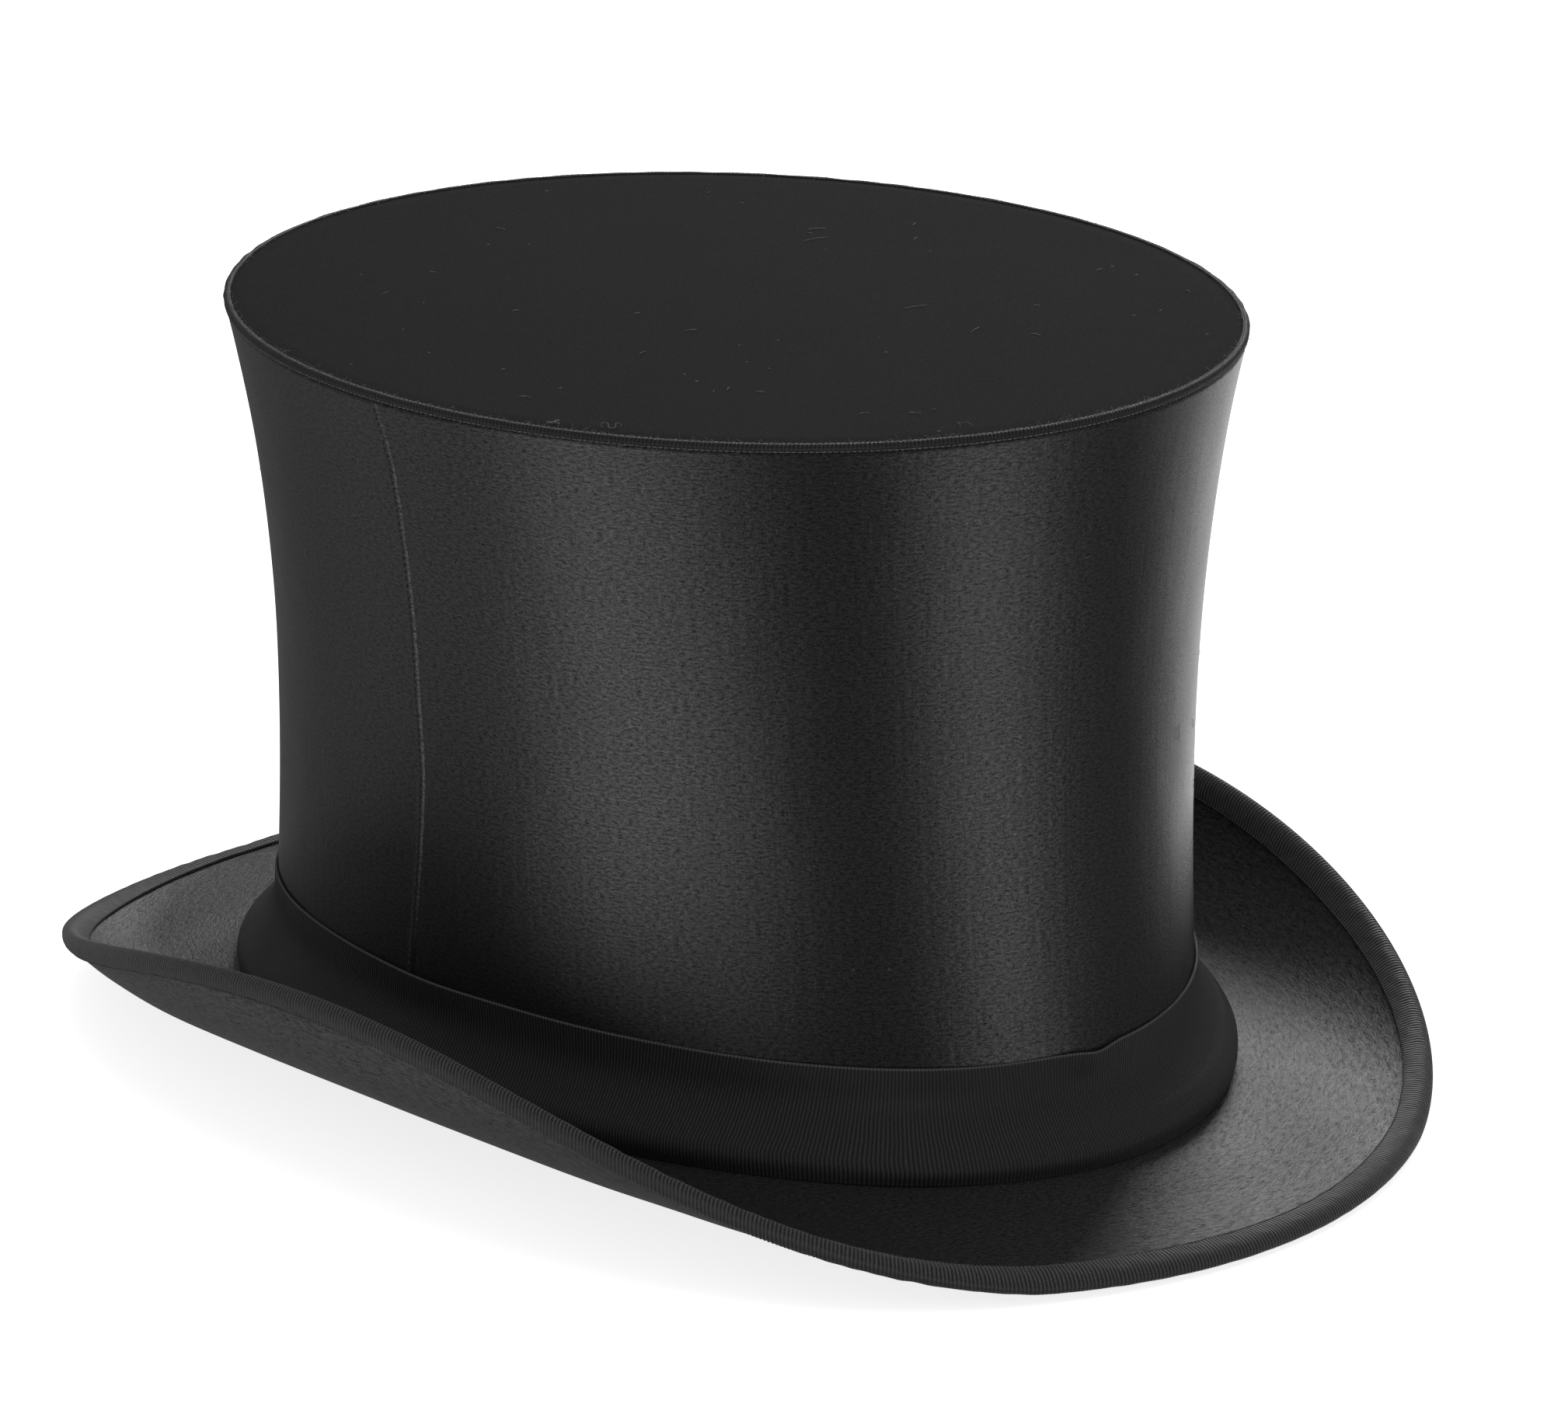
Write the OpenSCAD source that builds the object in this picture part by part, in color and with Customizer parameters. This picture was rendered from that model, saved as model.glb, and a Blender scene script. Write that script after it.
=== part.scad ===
// Collapsible opera hat (top hat), millimetres.
// +Z is up, the front of the hat points to -Y and the wearer's left side is +X.
// The origin is under the middle of the brim, at its lowest point.
// "Angle" f runs round the hat: 0 is the front, 90 the wearer's left, 180 the back, 270 the right.

/* [Crown] */
// Height of the open crown above the brim
crown_h = 149; // [140:0.5:156]
// Half length of the crown where it meets the brim, front to back
base_half_l = 107.4; // [102:0.1:112]
// Half width of the crown where it meets the brim
base_half_w = 81.6; // [79:0.1:88]
// Half length of the tip, front to back
tip_half_l = 108.2; // [105:0.1:112]
// Half width of the tip
tip_half_w = 98; // [93:0.1:101]
// How far the wall draws in at the waist
waist_in = 5.3; // [3:0.1:6]

/* [Brim] */
// Arc width of the brim at the front
brim_w_front = 45; // [42:0.1:52]
// Arc width of the brim at the back
brim_w_back = 42.6; // [40:0.1:52]
// Arc width of the brim at the sides
brim_w_side = 47.7; // [42:0.1:52]
// Angle through which the sides roll up
roll_angle = 84.6; // [50:0.1:90]
// Width of the straight slope inside the roll at the front and the back
roll_start = 34; // [24:0.5:36]
// Angle at which the brim slopes down at the front and the back
brim_dip = 7.2; // [0:0.1:12]
// Thickness of the brim board
board_t = 1.6; // [1.2:0.1:2]
// Width of the binding ribbon on top of the brim
binding_w = 3.5; // [3:0.5:11]
// Width of the binding ribbon under the brim
under_lap = 1.5; // [1:0.5:6]

/* [Band] */
// Height of the hat band's top edge above the brim at the crown
band_h = 20.6; // [16:0.1:23]
// Distance by which the band sweeps out at its foot
band_flare = 7.6; // [5:0.1:9]

/* [Folding frame] */
// Lean of each half arm from upright when the hat is open
open_lean = 6; // [5:0.5:8]
// Height of the lower pivots above the crown's base
lower_pivot_h = 19.5; // [19:0.5:21]
// Depth of the upper pivots below the tip
upper_pivot_drop = 13; // [12.5:0.5:15]
// Radius of the pivot pins
pin_r = 1.25; // [1:0.05:1.4]
// Radial clearance where a part turns on a pin
running_gap = 0.05; // [0.03:0.01:0.08]

/* [Hidden] */
$fn = 48;

steps_round = 56;      // facets round the hat
steps_wall = 6;        // facets up the crown's wall
layer_gap = 0.15;      // space between sewn layers
cloth_t = 0.35;        // brim covering
wall_t = 0.6;          // crown covering with its backing
collar_t = 1.1;        // stiffened collar
hoop_t = 1;            // spring-steel hoops and bracket feet
ribbon_t = 0.55;       // grosgrain ribbon
eye_r = 3;             // outside radius of the link eyes and lugs
bar_w = 5;             // width of a link's side bar
sheet_t = 1.2;         // thickness of a link's side bar and of a lug
link_inner = 3;        // middle plane to the inside of an upper link bar
link_outer = 4.4;      // middle plane to the inside of a lower link bar
head_t = 0.8;          // thickness of a pin's head
spring_wire_r = 0.4;
spring_r = 2.05;       // radius of the spring's coil, at the wire's middle
datum_z = 11.33;       // height of the crown's base above the table

lower_pivot_z = datum_z + lower_pivot_h;
upper_pivot_z = datum_z + crown_h - upper_pivot_drop;
link_l = (upper_pivot_z - lower_pivot_z) / 2 / cos(open_lean);
tip_z = datum_z + crown_h;

function mix(p, q, t) = p + (q - p) * t;

// Crown wall: half length and half width at share t of its height.
function waist(t) = waist_in * 4 * t * (1 - t) * (1 + 0.55 * (t - 0.5));
function wall_l(t) = mix(base_half_l, tip_half_l, t) - waist(t);
function wall_w(t) = mix(base_half_w, tip_half_w, t) - waist(t);
function wall_point(f, inset, z) =
    let (t = min(max((z - datum_z) / crown_h, 0), 1))
    [(wall_w(t) - inset) * sin(f), -(wall_l(t) - inset) * cos(f), z];

// Upright strip on a plain ellipse.
function oval_point(f, half_l, half_w, z) = [half_w * sin(f), -half_l * cos(f), z];

// The hoops are the largest upright strips that clear the wall's layers over their height.
lower_hoop_h = 7;
upper_hoop_h = 5.4;
lower_hoop_z = datum_z + 8;
upper_hoop_z = tip_z - 9;
lower_inset = wall_t + collar_t + 3 * layer_gap;
upper_inset = wall_t + layer_gap + 0.05;
low0 = 8 / crown_h;
low1 = (8 + lower_hoop_h) / crown_h;
lower_hoop_l = min(wall_l(low0), wall_l(low1)) - lower_inset;
lower_hoop_w = min(wall_w(low0), wall_w(low1)) - lower_inset;
upper_hoop_l = wall_l(1 - 9 / crown_h) - upper_inset;
upper_hoop_w = wall_w(1 - 9 / crown_h) - upper_inset;

// Distance of the arms' pivots from the middle: front and back, and sides.
pivot_l = lower_hoop_l - 2 * hoop_t - 3.4;
pivot_w = lower_hoop_w - 2 * hoop_t - 3.4;

// The brim's middle surface leaves the crown along this curve, higher at the sides.
function root_z(f) = datum_z - 0.8 - 0.6 * cos(f) - 2.3 * cos(2 * f);

// Brim: a straight slope, then a roll whose angle grows towards the sides.
// s is the distance from the crown along the brim, e the height over its middle surface.
side_slope = -5;
side_roll_start = 1;
front_onset = 0.4;
function back_share(f) = let (t = (1 - cos(f)) / 2) t * t * (3 - 2 * t);
function brim_w(f) =
    mix(mix(brim_w_front, brim_w_back, back_share(f)), brim_w_side, pow(sin(f), 2));
function onset(f) = mix(front_onset, 0, back_share(f));
function roll(f) = 0.5 + roll_angle * pow(max(abs(sin(f)) - onset(f), 0) / (1 - onset(f)), 1.2);
function slope0(f) = mix(side_slope, -brim_dip, pow(cos(f), 2));
function brim_section(f, s, e) =
    let (w = brim_w(f), p0 = slope0(f), turn = roll(f))
    let (flat_w = mix(side_roll_start, roll_start, pow(cos(f), 2)))
    let (r = (w - flat_w) / (turn * PI / 180))
    let (bend = turn * min(max((s - flat_w) / (w - flat_w), 0), 1))
    let (past = max(s - w, 0), flat = min(s, flat_w))
    let (p = p0 + bend)
    [flat * cos(p0) + r * (sin(p) - sin(p0)) + past * cos(p) - e * sin(p),
     flat * sin(p0) + r * (cos(p0) - cos(p)) + past * sin(p) + e * cos(p)];
function brim_point(f, s, e) =
    let (q = brim_section(f, s, e), n = [base_half_l * sin(f), -base_half_w * cos(f)])
    let (m = q[0] / norm(n))
    [base_half_w * sin(f) + m * n[0], -base_half_l * cos(f) + m * n[1], root_z(f) + q[1]];

// Skin over one loop of points for each angle, closed into a ring or capped at both ends.
// The quads from index flip[0] to flip[1] of a loop are split along their other diagonal.
module ring(loops, closed = true, flip = [-1, -1]) {
    n = len(loops);
    m = len(loops[0]);
    points = [for (loop = loops) each loop];
    sides = [for (i = [0:(closed ? n - 1 : n - 2)], j = [0:m - 1])
        let (a = i * m + j, b = i * m + (j + 1) % m)
        let (c = ((i + 1) % n) * m + (j + 1) % m, d = ((i + 1) % n) * m + j)
        each (j >= flip[0] && j <= flip[1] ? [[a, b, d], [b, c, d]] : [[a, b, c], [a, c, d]])];
    last = (n - 1) * m;
    caps = closed ? [] : [for (j = [0:m / 2 - 2])
        let (a = j, b = j + 1, c = m - 2 - j, d = m - 1 - j)
        each [[d, c, b], [d, b, a], [last + a, last + b, last + c], [last + a, last + c, last + d]]];
    polyhedron(points = points, faces = concat(sides, caps), convexity = 6);
}

function angles(n = steps_round) = [for (i = [0:n - 1]) i * 360 / n];

// Distances from the crown at which every brim layer has its rings of points.
foot_s = band_flare + layer_gap + ribbon_t;
function brim_stations(f) =
    let (w = brim_w(f), lap_s = w - binding_w)
    concat([0.6], [for (i = [0:3]) mix(foot_s, lap_s, i / 4)], [lap_s, w - binding_w / 2, w]);

// One layer of the brim between heights e0 and e1 over its middle surface.
// A covering splits its inner side as the board's face does, so that the two stay apart.
module brim_layer(e0, e1) {
    m = len(brim_stations(0));
    flip = e0 > 0 ? [0, m - 2] : e1 < 0 ? [m, 2 * m - 2] : [-1, -1];
    ring([for (f = angles())
        let (stations = brim_stations(f))
        concat(
            [for (i = [0:m - 1]) brim_point(f, stations[i], e0)],
            [for (i = [m - 1:-1:0]) brim_point(f, stations[i], e1)])], flip = flip);
}

// Flat oval plate.
module oval_plate(half_l, half_w, z0, h, n = 96) {
    translate([0, 0, z0])
        linear_extrude(h)
            polygon([for (f = angles(n)) [half_w * sin(f), -half_l * cos(f)]]);
}

// Upright oval strip with its outside on the given ellipse.
module oval_strip(half_l, half_w, t, z0, h) {
    translate([0, 0, z0])
        linear_extrude(h)
            difference() {
                polygon([for (f = angles(96)) [half_w * sin(f), -half_l * cos(f)]]);
                polygon([for (f = angles(96)) [(half_w - t) * sin(f), -(half_l - t) * cos(f)]]);
            }
}

// ---- brim ----
cover_e = board_t / 2 + layer_gap;
bind_e = cover_e + cloth_t + layer_gap;

module brim_board() {
    color([0.55, 0.5, 0.42]) brim_layer(-board_t / 2, board_t / 2);
}

module brim_cover_top() {
    color([0.13, 0.13, 0.14]) brim_layer(cover_e, cover_e + cloth_t);
}

module brim_cover_under() {
    color([0.16, 0.16, 0.17]) brim_layer(-cover_e - cloth_t, -cover_e);
}

module brim_binding() {
    lap = binding_w;
    color([0.07, 0.07, 0.08])
        ring([for (f = angles()) let (w = brim_w(f)) [for (q = [
            [-under_lap, -bind_e - ribbon_t], [-under_lap / 2, -bind_e - ribbon_t],
            [0.4, -bind_e - ribbon_t],
            [2, -bind_e * 0.8 - ribbon_t / 2], [2 + ribbon_t, 0],
            [2, bind_e * 0.8 + ribbon_t / 2], [0.4, bind_e + ribbon_t],
            [-lap / 2, bind_e + ribbon_t], [-lap, bind_e + ribbon_t],
            [-lap, bind_e], [-lap / 2, bind_e], [0.2, bind_e], [1.5, bind_e * 0.7], [2, 0],
            [1.5, -bind_e * 0.7], [0.2, -bind_e], [-under_lap / 2, -bind_e], [-under_lap, -bind_e]])
            brim_point(f, w + q[0], q[1])]], flip = [9, 16]);
}

module brim_wire() {
    wire_r = 0.6;
    color([0.6, 0.6, 0.62])
        ring([for (f = angles()) [for (k = [0:7])
            brim_point(f, brim_w(f) + 0.85 + wire_r * cos(k * 45), wire_r * sin(k * 45))]]);
}

// ---- collar, band and sweatband ----
function root_top(f) = root_z(f) + cover_e + cloth_t;
function root_under(f) = root_z(f) - cover_e - cloth_t;

// Upright ring on the crown wall, from height z0 to z1 at each angle.
module wall_ring(inset0, inset1, z0, z1) {
    ring([for (i = [0:steps_round - 1]) let (f = i * 360 / steps_round) [
        wall_point(f, inset0, z0[i]), wall_point(f, inset0, z1[i]),
        wall_point(f, inset1, z1[i]), wall_point(f, inset1, z0[i])]]);
}

module crown_collar() {
    inset = wall_t + layer_gap;
    color([0.5, 0.45, 0.36])
        wall_ring(inset, inset + collar_t,
            [for (f = angles()) root_under(f)],
            [for (f = angles()) datum_z + 20.5]);
}

// The band stands on the wall, sweeps out near its foot and ends upright on the brim.
// h is the height over the brim under the foot, e the distance out from the ribbon's middle.
foot_h = 3;
sweep_h = 14;
sweep_heights = [foot_h + sweep_h, 14, 11.5, 9];
function band_foot(f) = root_z(f) + brim_section(f, foot_s, cover_e + cloth_t)[1] + layer_gap;
function band_top(f) = root_top(f) + band_h - band_foot(f);
function band_point(f, h, e) =
    let (t = min(max((h - foot_h) / sweep_h, 0), 1), z = band_foot(f) + h)
    let (out = band_flare * (1 + cos(180 * t)) / 2)
    let (lean = atan(band_flare * PI / 2 / sweep_h * sin(180 * t)))
    let (n = [base_half_l * sin(f), -base_half_w * cos(f)], p = wall_point(f, 0, z))
    let (m = (layer_gap + ribbon_t / 2 + out + e * cos(lean)) / norm(n))
    [p[0] + m * n[0], p[1] + m * n[1], z + e * sin(lean)];

// Loop of points round a strip of ribbon laid on the band, through the given heights.
function band_loop(f, heights, e0, e1) =
    let (n = len(heights))
    concat([for (h = heights) band_point(f, h, e0)],
        [for (i = [n - 1:-1:0]) band_point(f, heights[i], e1)]);

module hat_band() {
    color([0.09, 0.09, 0.1])
        ring([for (f = angles())
            band_loop(f, concat([band_top(f)], sweep_heights, [6.5, foot_h, 0]),
                -ribbon_t / 2, ribbon_t / 2)]);
}

// Flat bow sewn over the band's join on the wearer's left: two loops under a cross piece.
module band_bow() {
    near_e = ribbon_t / 2 + 0.1;
    loop_heights = concat([19.3], sweep_heights, [7.5]);
    cross_heights = concat([19.9], sweep_heights, [6.6]);
    color([0.1, 0.1, 0.11]) {
        for (f0 = [77.5, 91])
            ring([for (k = [0:4]) band_loop(f0 + k * 2.9, loop_heights, near_e, near_e + 1.3)],
                closed = false);
        ring([for (f = [88.3, 91.7]) band_loop(f, cross_heights, near_e, near_e + 2.2)],
            closed = false);
    }
}

module sweatband() {
    sweat_l = lower_hoop_l - 2 * hoop_t - 0.25;
    sweat_w = lower_hoop_w - 2 * hoop_t - 0.25;
    top_z = datum_z + 14.9;
    color([0.3, 0.2, 0.13])
        ring([for (f = angles()) let (z0 = root_under(f) - 0.6) [
            oval_point(f, sweat_l, sweat_w, z0), oval_point(f, sweat_l, sweat_w, top_z),
            oval_point(f, sweat_l - 0.9, sweat_w - 0.9, top_z),
            oval_point(f, sweat_l - 0.9, sweat_w - 0.9, z0)]]);
}

module sweatband_reed() {
    reed_r = 0.8;
    reed_l = lower_hoop_l - 2 * hoop_t + 0.85;
    reed_w = lower_hoop_w - 2 * hoop_t + 0.85;
    color([0.25, 0.17, 0.11])
        ring([for (f = angles()) let (z0 = root_under(f) + 1) [for (k = [0:7])
            oval_point(f, reed_l + reed_r * cos(k * 45), reed_w + reed_r * cos(k * 45),
                z0 + reed_r * sin(k * 45))]]);
}

// Small ribbon bow inside the sweatband at the back.
module sweatband_bow() {
    y0 = lower_hoop_l - 2 * hoop_t - 1.45;
    z0 = datum_z + 4.5;
    color([0.12, 0.12, 0.13]) {
        for (i = [-1, 1])
            translate([i * 6.4, y0 - 1.6, z0])
                rotate([0, i * 8, 0])
                    translate([-4.6, 0, -2.5])
                        cube([9.2, 0.7, 5]);
        translate([-1.5, y0 - 1.7, z0 - 2])
            cube([3, 1, 4]);
    }
}

// ---- folding frame ----
// Brackets and arms stand at the front, back, left and right, each turned to its place.
places = [["front", 0, pivot_l], ["left", 90, pivot_w], ["back", 180, pivot_l], ["right", 270, pivot_w]];
rivet_spread = 9;
rivet_r = 0.9;

// Outward normal's turn and the point where a rivet crosses the hoop, for a turn of f.
function rivet_angle(half_l, half_w, turn, side) =
    turn + side * asin(rivet_spread / (turn % 180 == 0 ? half_w : half_l));
function oval_normal(f, half_l, half_w) = atan2(half_l * sin(f), half_w * cos(f));

module rivets(half_l, half_w, z) {
    for (p = places, side = [-1, 1]) {
        f = rivet_angle(half_l, half_w, p[1], side);
        translate([half_w * sin(f), -half_l * cos(f), z])
            rotate([0, 0, oval_normal(f, half_l, half_w)])
                rotate([-90, 0, 0])
                    children();
    }
}

module rivet_holes(half_l, half_w, z) {
    rivets(half_l, half_w, z)
        translate([0, 0, -1])
            cylinder(r = rivet_r, h = 5);
}

module hoop(half_l, half_w, z, h) {
    color([0.62, 0.63, 0.66])
        difference() {
            oval_strip(half_l, half_w, hoop_t, z, h);
            rivet_holes(half_l, half_w, z + h / 2);
        }
}

// Bracket: a foot that follows the hoop and two lugs that carry the pivot.
module bracket(p, half_l, half_w, z, h, pivot_z, lug_in) {
    inner_l = half_l - hoop_t - 0.02;
    inner_w = half_w - hoop_t - 0.02;
    color([0.5, 0.51, 0.54])
        difference() {
            union() {
                intersection() {
                    oval_strip(inner_l, inner_w, hoop_t, z, h);
                    rotate([0, 0, p[1]])
                        translate([-rivet_spread - 3.5, -half_l - 5, z])
                            cube([2 * rivet_spread + 7, 40, h]);
                }
                rotate([0, 0, p[1]])
                    for (side = [-1, 1])
                        lug(p[2], (p[1] % 180 == 0 ? inner_l : inner_w) - 0.35,
                            z, h, pivot_z, side * (lug_in + sheet_t / 2));
            }
            rotate([0, 0, p[1]])
                translate([0, -p[2], pivot_z])
                    rotate([0, 90, 0])
                        cylinder(r = pin_r, h = 20, center = true);
            rivet_holes(half_l, half_w, z + h / 2);
        }
}

module lower_bracket(p) {
    bracket(p, lower_hoop_l, lower_hoop_w, lower_hoop_z, lower_hoop_h, lower_pivot_z, link_inner);
}

module upper_bracket(p) {
    bracket(p, upper_hoop_l, upper_hoop_w, upper_hoop_z, upper_hoop_h, upper_pivot_z, 1.6);
}

// One lug: a plate from the foot, at distance out, to the pivot at distance pivot.
module lug(pivot, out, z, h, pivot_z, x) {
    near = pivot_z > z + h ? z + h : z;
    far = pivot_z > z + h ? z : z + h;
    translate([x - sheet_t / 2, 0, 0])
        rotate([90, 0, 90])
            linear_extrude(sheet_t)
                union() {
                    translate([-pivot, pivot_z])
                        circle(r = eye_r);
                    polygon([[-out, far], [-out + 0.9, far], [-out + 0.9, near],
                        [-pivot + eye_r * 0.75, mix(near, pivot_z, 0.35)],
                        [-pivot + eye_r * 0.9, pivot_z],
                        [-pivot - eye_r * 0.6, pivot_z], [-out, mix(near, pivot_z, 0.5)]]);
                }
}

// Headed pin along X at the given height, with its heads clear of the outer bars.
module pin(span) {
    rotate([0, 90, 0])
        cylinder(r = pin_r, h = 2 * span + 2 * head_t, center = true);
    for (side = [-1, 1])
        translate([side * (span + head_t / 2), 0, 0])
            rotate([0, 90, 0])
                cylinder(r = pin_r + 0.8, h = head_t, center = true);
}

module pivot_pins(pivot_z, span) {
    color([0.72, 0.68, 0.5])
        for (p = places)
            rotate([0, 0, p[1]])
                translate([0, -p[2], pivot_z])
                    pin(span);
}

outer_span = link_outer + sheet_t + 0.2;
inner_span = link_inner + sheet_t + 0.2;

module rivet_set(half_l, half_w, z) {
    color([0.72, 0.68, 0.5])
        rivets(half_l, half_w, z)
            translate([0, 0, -0.1])
                cylinder(r = rivet_r, h = 2 * hoop_t + 0.1);
}

module lower_hoop() {
    hoop(lower_hoop_l, lower_hoop_w, lower_hoop_z, lower_hoop_h);
}

module lower_rivets() {
    rivet_set(lower_hoop_l, lower_hoop_w, lower_hoop_z + lower_hoop_h / 2);
}

module lower_pivot_pins() {
    pivot_pins(lower_pivot_z, outer_span);
}

// A half arm drawn upright from its lower eye: two bars with a web on the inward side.
// The eye at one end is a tight fit on its pin and the eye at the other end turns.
module link(inside, tight_z) {
    difference() {
        union() {
            for (side = [-1, 1])
                translate([side * (inside + sheet_t / 2), 0, 0]) {
                    for (z = [0, link_l])
                        translate([0, 0, z])
                            rotate([0, 90, 0])
                                cylinder(r = eye_r, h = sheet_t, center = true);
                    translate([-sheet_t / 2, -bar_w / 2, 0])
                        cube([sheet_t, bar_w, link_l]);
                }
            translate([-inside - 0.1, bar_w / 2 - 0.8, 10])
                cube([2 * inside + 0.2, 0.8, link_l - 20]);
        }
        for (z = [0, link_l])
            translate([0, 0, z])
                rotate([0, 90, 0])
                    cylinder(r = z == tight_z ? pin_r : pin_r + running_gap, h = 30, center = true);
    }
}

// Places a half arm or a pin in the front arm's fold plane, then turns it to its place.
module at_lower(p) {
    rotate([0, 0, p[1]])
        translate([0, -p[2], lower_pivot_z])
            rotate([-open_lean, 0, 0])
                children();
}

module at_elbow(p) {
    at_lower(p)
        translate([0, 0, link_l])
            children();
}

module lower_link(p) {
    color([0.6, 0.61, 0.64])
        at_lower(p)
            link(link_outer, link_l);
}

module elbow_pin(p) {
    color([0.72, 0.68, 0.5])
        at_elbow(p)
            pin(outer_span);
}

module upper_link(p) {
    color([0.66, 0.67, 0.7])
        at_elbow(p)
            rotate([2 * open_lean, 0, 0])
                link(link_inner, -1);
}

// Torsion spring: a coil round the elbow pin with one leg along each half arm.
module elbow_spring(p) {
    turns = 3;
    per_turn = 12;
    pitch = 1.15;
    leg = 9;
    start = 90 - open_lean;
    sweep = turns * 360 + 180 + 2 * open_lean;
    n = floor(sweep / 360 * per_turn);
    coil = [for (i = [0:n]) let (q = start - i * sweep / n, x = (i / n - 0.5) * turns * pitch)
        [x, spring_r * sin(q + open_lean), spring_r * cos(q + open_lean)]];
    first = coil[0];
    last = coil[n];
    path = concat(
        [first + [0, -0.7, -leg]], coil,
        [last + [0, -0.7 * cos(2 * open_lean) - leg * sin(2 * open_lean), leg * cos(2 * open_lean)]]);
    color([0.45, 0.46, 0.5])
        at_elbow(p)
            tube(path, spring_wire_r, 6);
}

// Round bar along a path of points, closed with flat ends.
module tube(path, r, sides) {
    n = len(path);
    points = [for (i = [0:n - 1])
        let (t = path[min(i + 1, n - 1)] - path[max(i - 1, 0)], d = t / norm(t))
        let (u = [1, 0, 0] - d * d[0], v = u / norm(u), w = cross(d, v))
        each [for (k = [0:sides - 1])
            path[i] + r * (v * cos(k * 360 / sides) + w * sin(k * 360 / sides))]];
    faces = concat(
        [[for (k = [0:sides - 1]) k]],
        [for (i = [0:n - 2], k = [0:sides - 1])
            let (a = i * sides + k, b = i * sides + (k + 1) % sides)
            each [[a, a + sides, b + sides], [a, b + sides, b]]],
        [[for (k = [sides - 1:-1:0]) (n - 1) * sides + k]]);
    polyhedron(points = points, faces = faces, convexity = 8);
}

module lower_bracket_front() lower_bracket(places[0]);
module lower_bracket_left() lower_bracket(places[1]);
module lower_bracket_back() lower_bracket(places[2]);
module lower_bracket_right() lower_bracket(places[3]);
module upper_bracket_front() upper_bracket(places[0]);
module upper_bracket_left() upper_bracket(places[1]);
module upper_bracket_back() upper_bracket(places[2]);
module upper_bracket_right() upper_bracket(places[3]);
module front_lower_link() lower_link(places[0]);
module front_elbow_pin() elbow_pin(places[0]);
module front_elbow_spring() elbow_spring(places[0]);
module front_upper_link() upper_link(places[0]);
module left_lower_link() lower_link(places[1]);
module left_elbow_pin() elbow_pin(places[1]);
module left_elbow_spring() elbow_spring(places[1]);
module left_upper_link() upper_link(places[1]);
module back_lower_link() lower_link(places[2]);
module back_elbow_pin() elbow_pin(places[2]);
module back_elbow_spring() elbow_spring(places[2]);
module back_upper_link() upper_link(places[2]);
module right_lower_link() lower_link(places[3]);
module right_elbow_pin() elbow_pin(places[3]);
module right_elbow_spring() elbow_spring(places[3]);
module right_upper_link() upper_link(places[3]);

module upper_hoop() {
    hoop(upper_hoop_l, upper_hoop_w, upper_hoop_z, upper_hoop_h);
}

module upper_rivets() {
    rivet_set(upper_hoop_l, upper_hoop_w, upper_hoop_z + upper_hoop_h / 2);
}

module upper_pivot_pins() {
    pivot_pins(upper_pivot_z, inner_span);
}

// ---- soft wall and lining ----
cord_r = 0.8;

module crown_cover() {
    top_z = tip_z - 2 * cord_r - 0.1;
    color([0.12, 0.12, 0.13])
        ring([for (f = angles())
            let (z0 = root_top(f) + 0.2)
            concat(
                [for (i = [0:steps_wall]) wall_point(f, 0, mix(z0, top_z, i / steps_wall))],
                [for (i = [steps_wall:-1:0])
                    wall_point(f, wall_t, mix(z0, top_z, i / steps_wall))])]);
}

// The lining hangs inside the folding arms, drawn in at mid height to clear the elbows.
module crown_lining() {
    z0 = datum_z + 16.4;
    z1 = tip_z - 3.6;
    half_l = pivot_l - eye_r - 0.6;
    half_w = pivot_w - eye_r - 0.6;
    cloth = 0.5;
    function pull(t) = 4 * t * (1 - t) * (link_l * sin(open_lean) + 0.2);
    color([0.2, 0.2, 0.22])
        ring([for (f = angles()) concat(
            [for (i = [0:steps_wall]) let (t = i / steps_wall)
                oval_point(f, half_l - pull(t), half_w - pull(t), mix(z0, z1, t))],
            [for (i = [steps_wall:-1:0]) let (t = i / steps_wall)
                oval_point(f, half_l - cloth - pull(t), half_w - cloth - pull(t),
                    mix(z0, z1, t))])]);
}

// ---- tip ----
module tip_board() {
    color([0.55, 0.5, 0.42])
        oval_plate(tip_half_l - 2, tip_half_w - 2, tip_z - 2.6, 1.8);
}

module tip_cover() {
    color([0.06, 0.06, 0.06])
        oval_plate(tip_half_l - 2 * cord_r - 0.2, tip_half_w - 2 * cord_r - 0.2, tip_z - 0.65, 0.65);
}

module tip_cord() {
    color([0.14, 0.14, 0.15])
        ring([for (f = angles(96)) [for (k = [0:7])
            oval_point(f, tip_half_l - cord_r + cord_r * cos(k * 45),
                tip_half_w - cord_r + cord_r * cos(k * 45), tip_z - cord_r + cord_r * sin(k * 45))]]);
}

module tip_lining() {
    color([0.2, 0.2, 0.22])
        oval_plate(upper_hoop_l - hoop_t - 0.4, upper_hoop_w - hoop_t - 0.4, tip_z - 3.35, 0.5);
}

brim_board();
brim_cover_top();
brim_cover_under();
brim_binding();
brim_wire();
crown_collar();
hat_band();
band_bow();
sweatband();
sweatband_reed();
sweatband_bow();
lower_hoop();
lower_bracket_front();
lower_bracket_back();
lower_bracket_left();
lower_bracket_right();
lower_rivets();
lower_pivot_pins();
crown_cover();
crown_lining();
front_lower_link();
front_elbow_pin();
front_elbow_spring();
front_upper_link();
back_lower_link();
back_elbow_pin();
back_elbow_spring();
back_upper_link();
left_lower_link();
left_elbow_pin();
left_elbow_spring();
left_upper_link();
right_lower_link();
right_elbow_pin();
right_elbow_spring();
right_upper_link();
upper_hoop();
upper_bracket_front();
upper_bracket_back();
upper_bracket_left();
upper_bracket_right();
upper_rivets();
upper_pivot_pins();
tip_board();
tip_cover();
tip_cord();
tip_lining();
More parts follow.
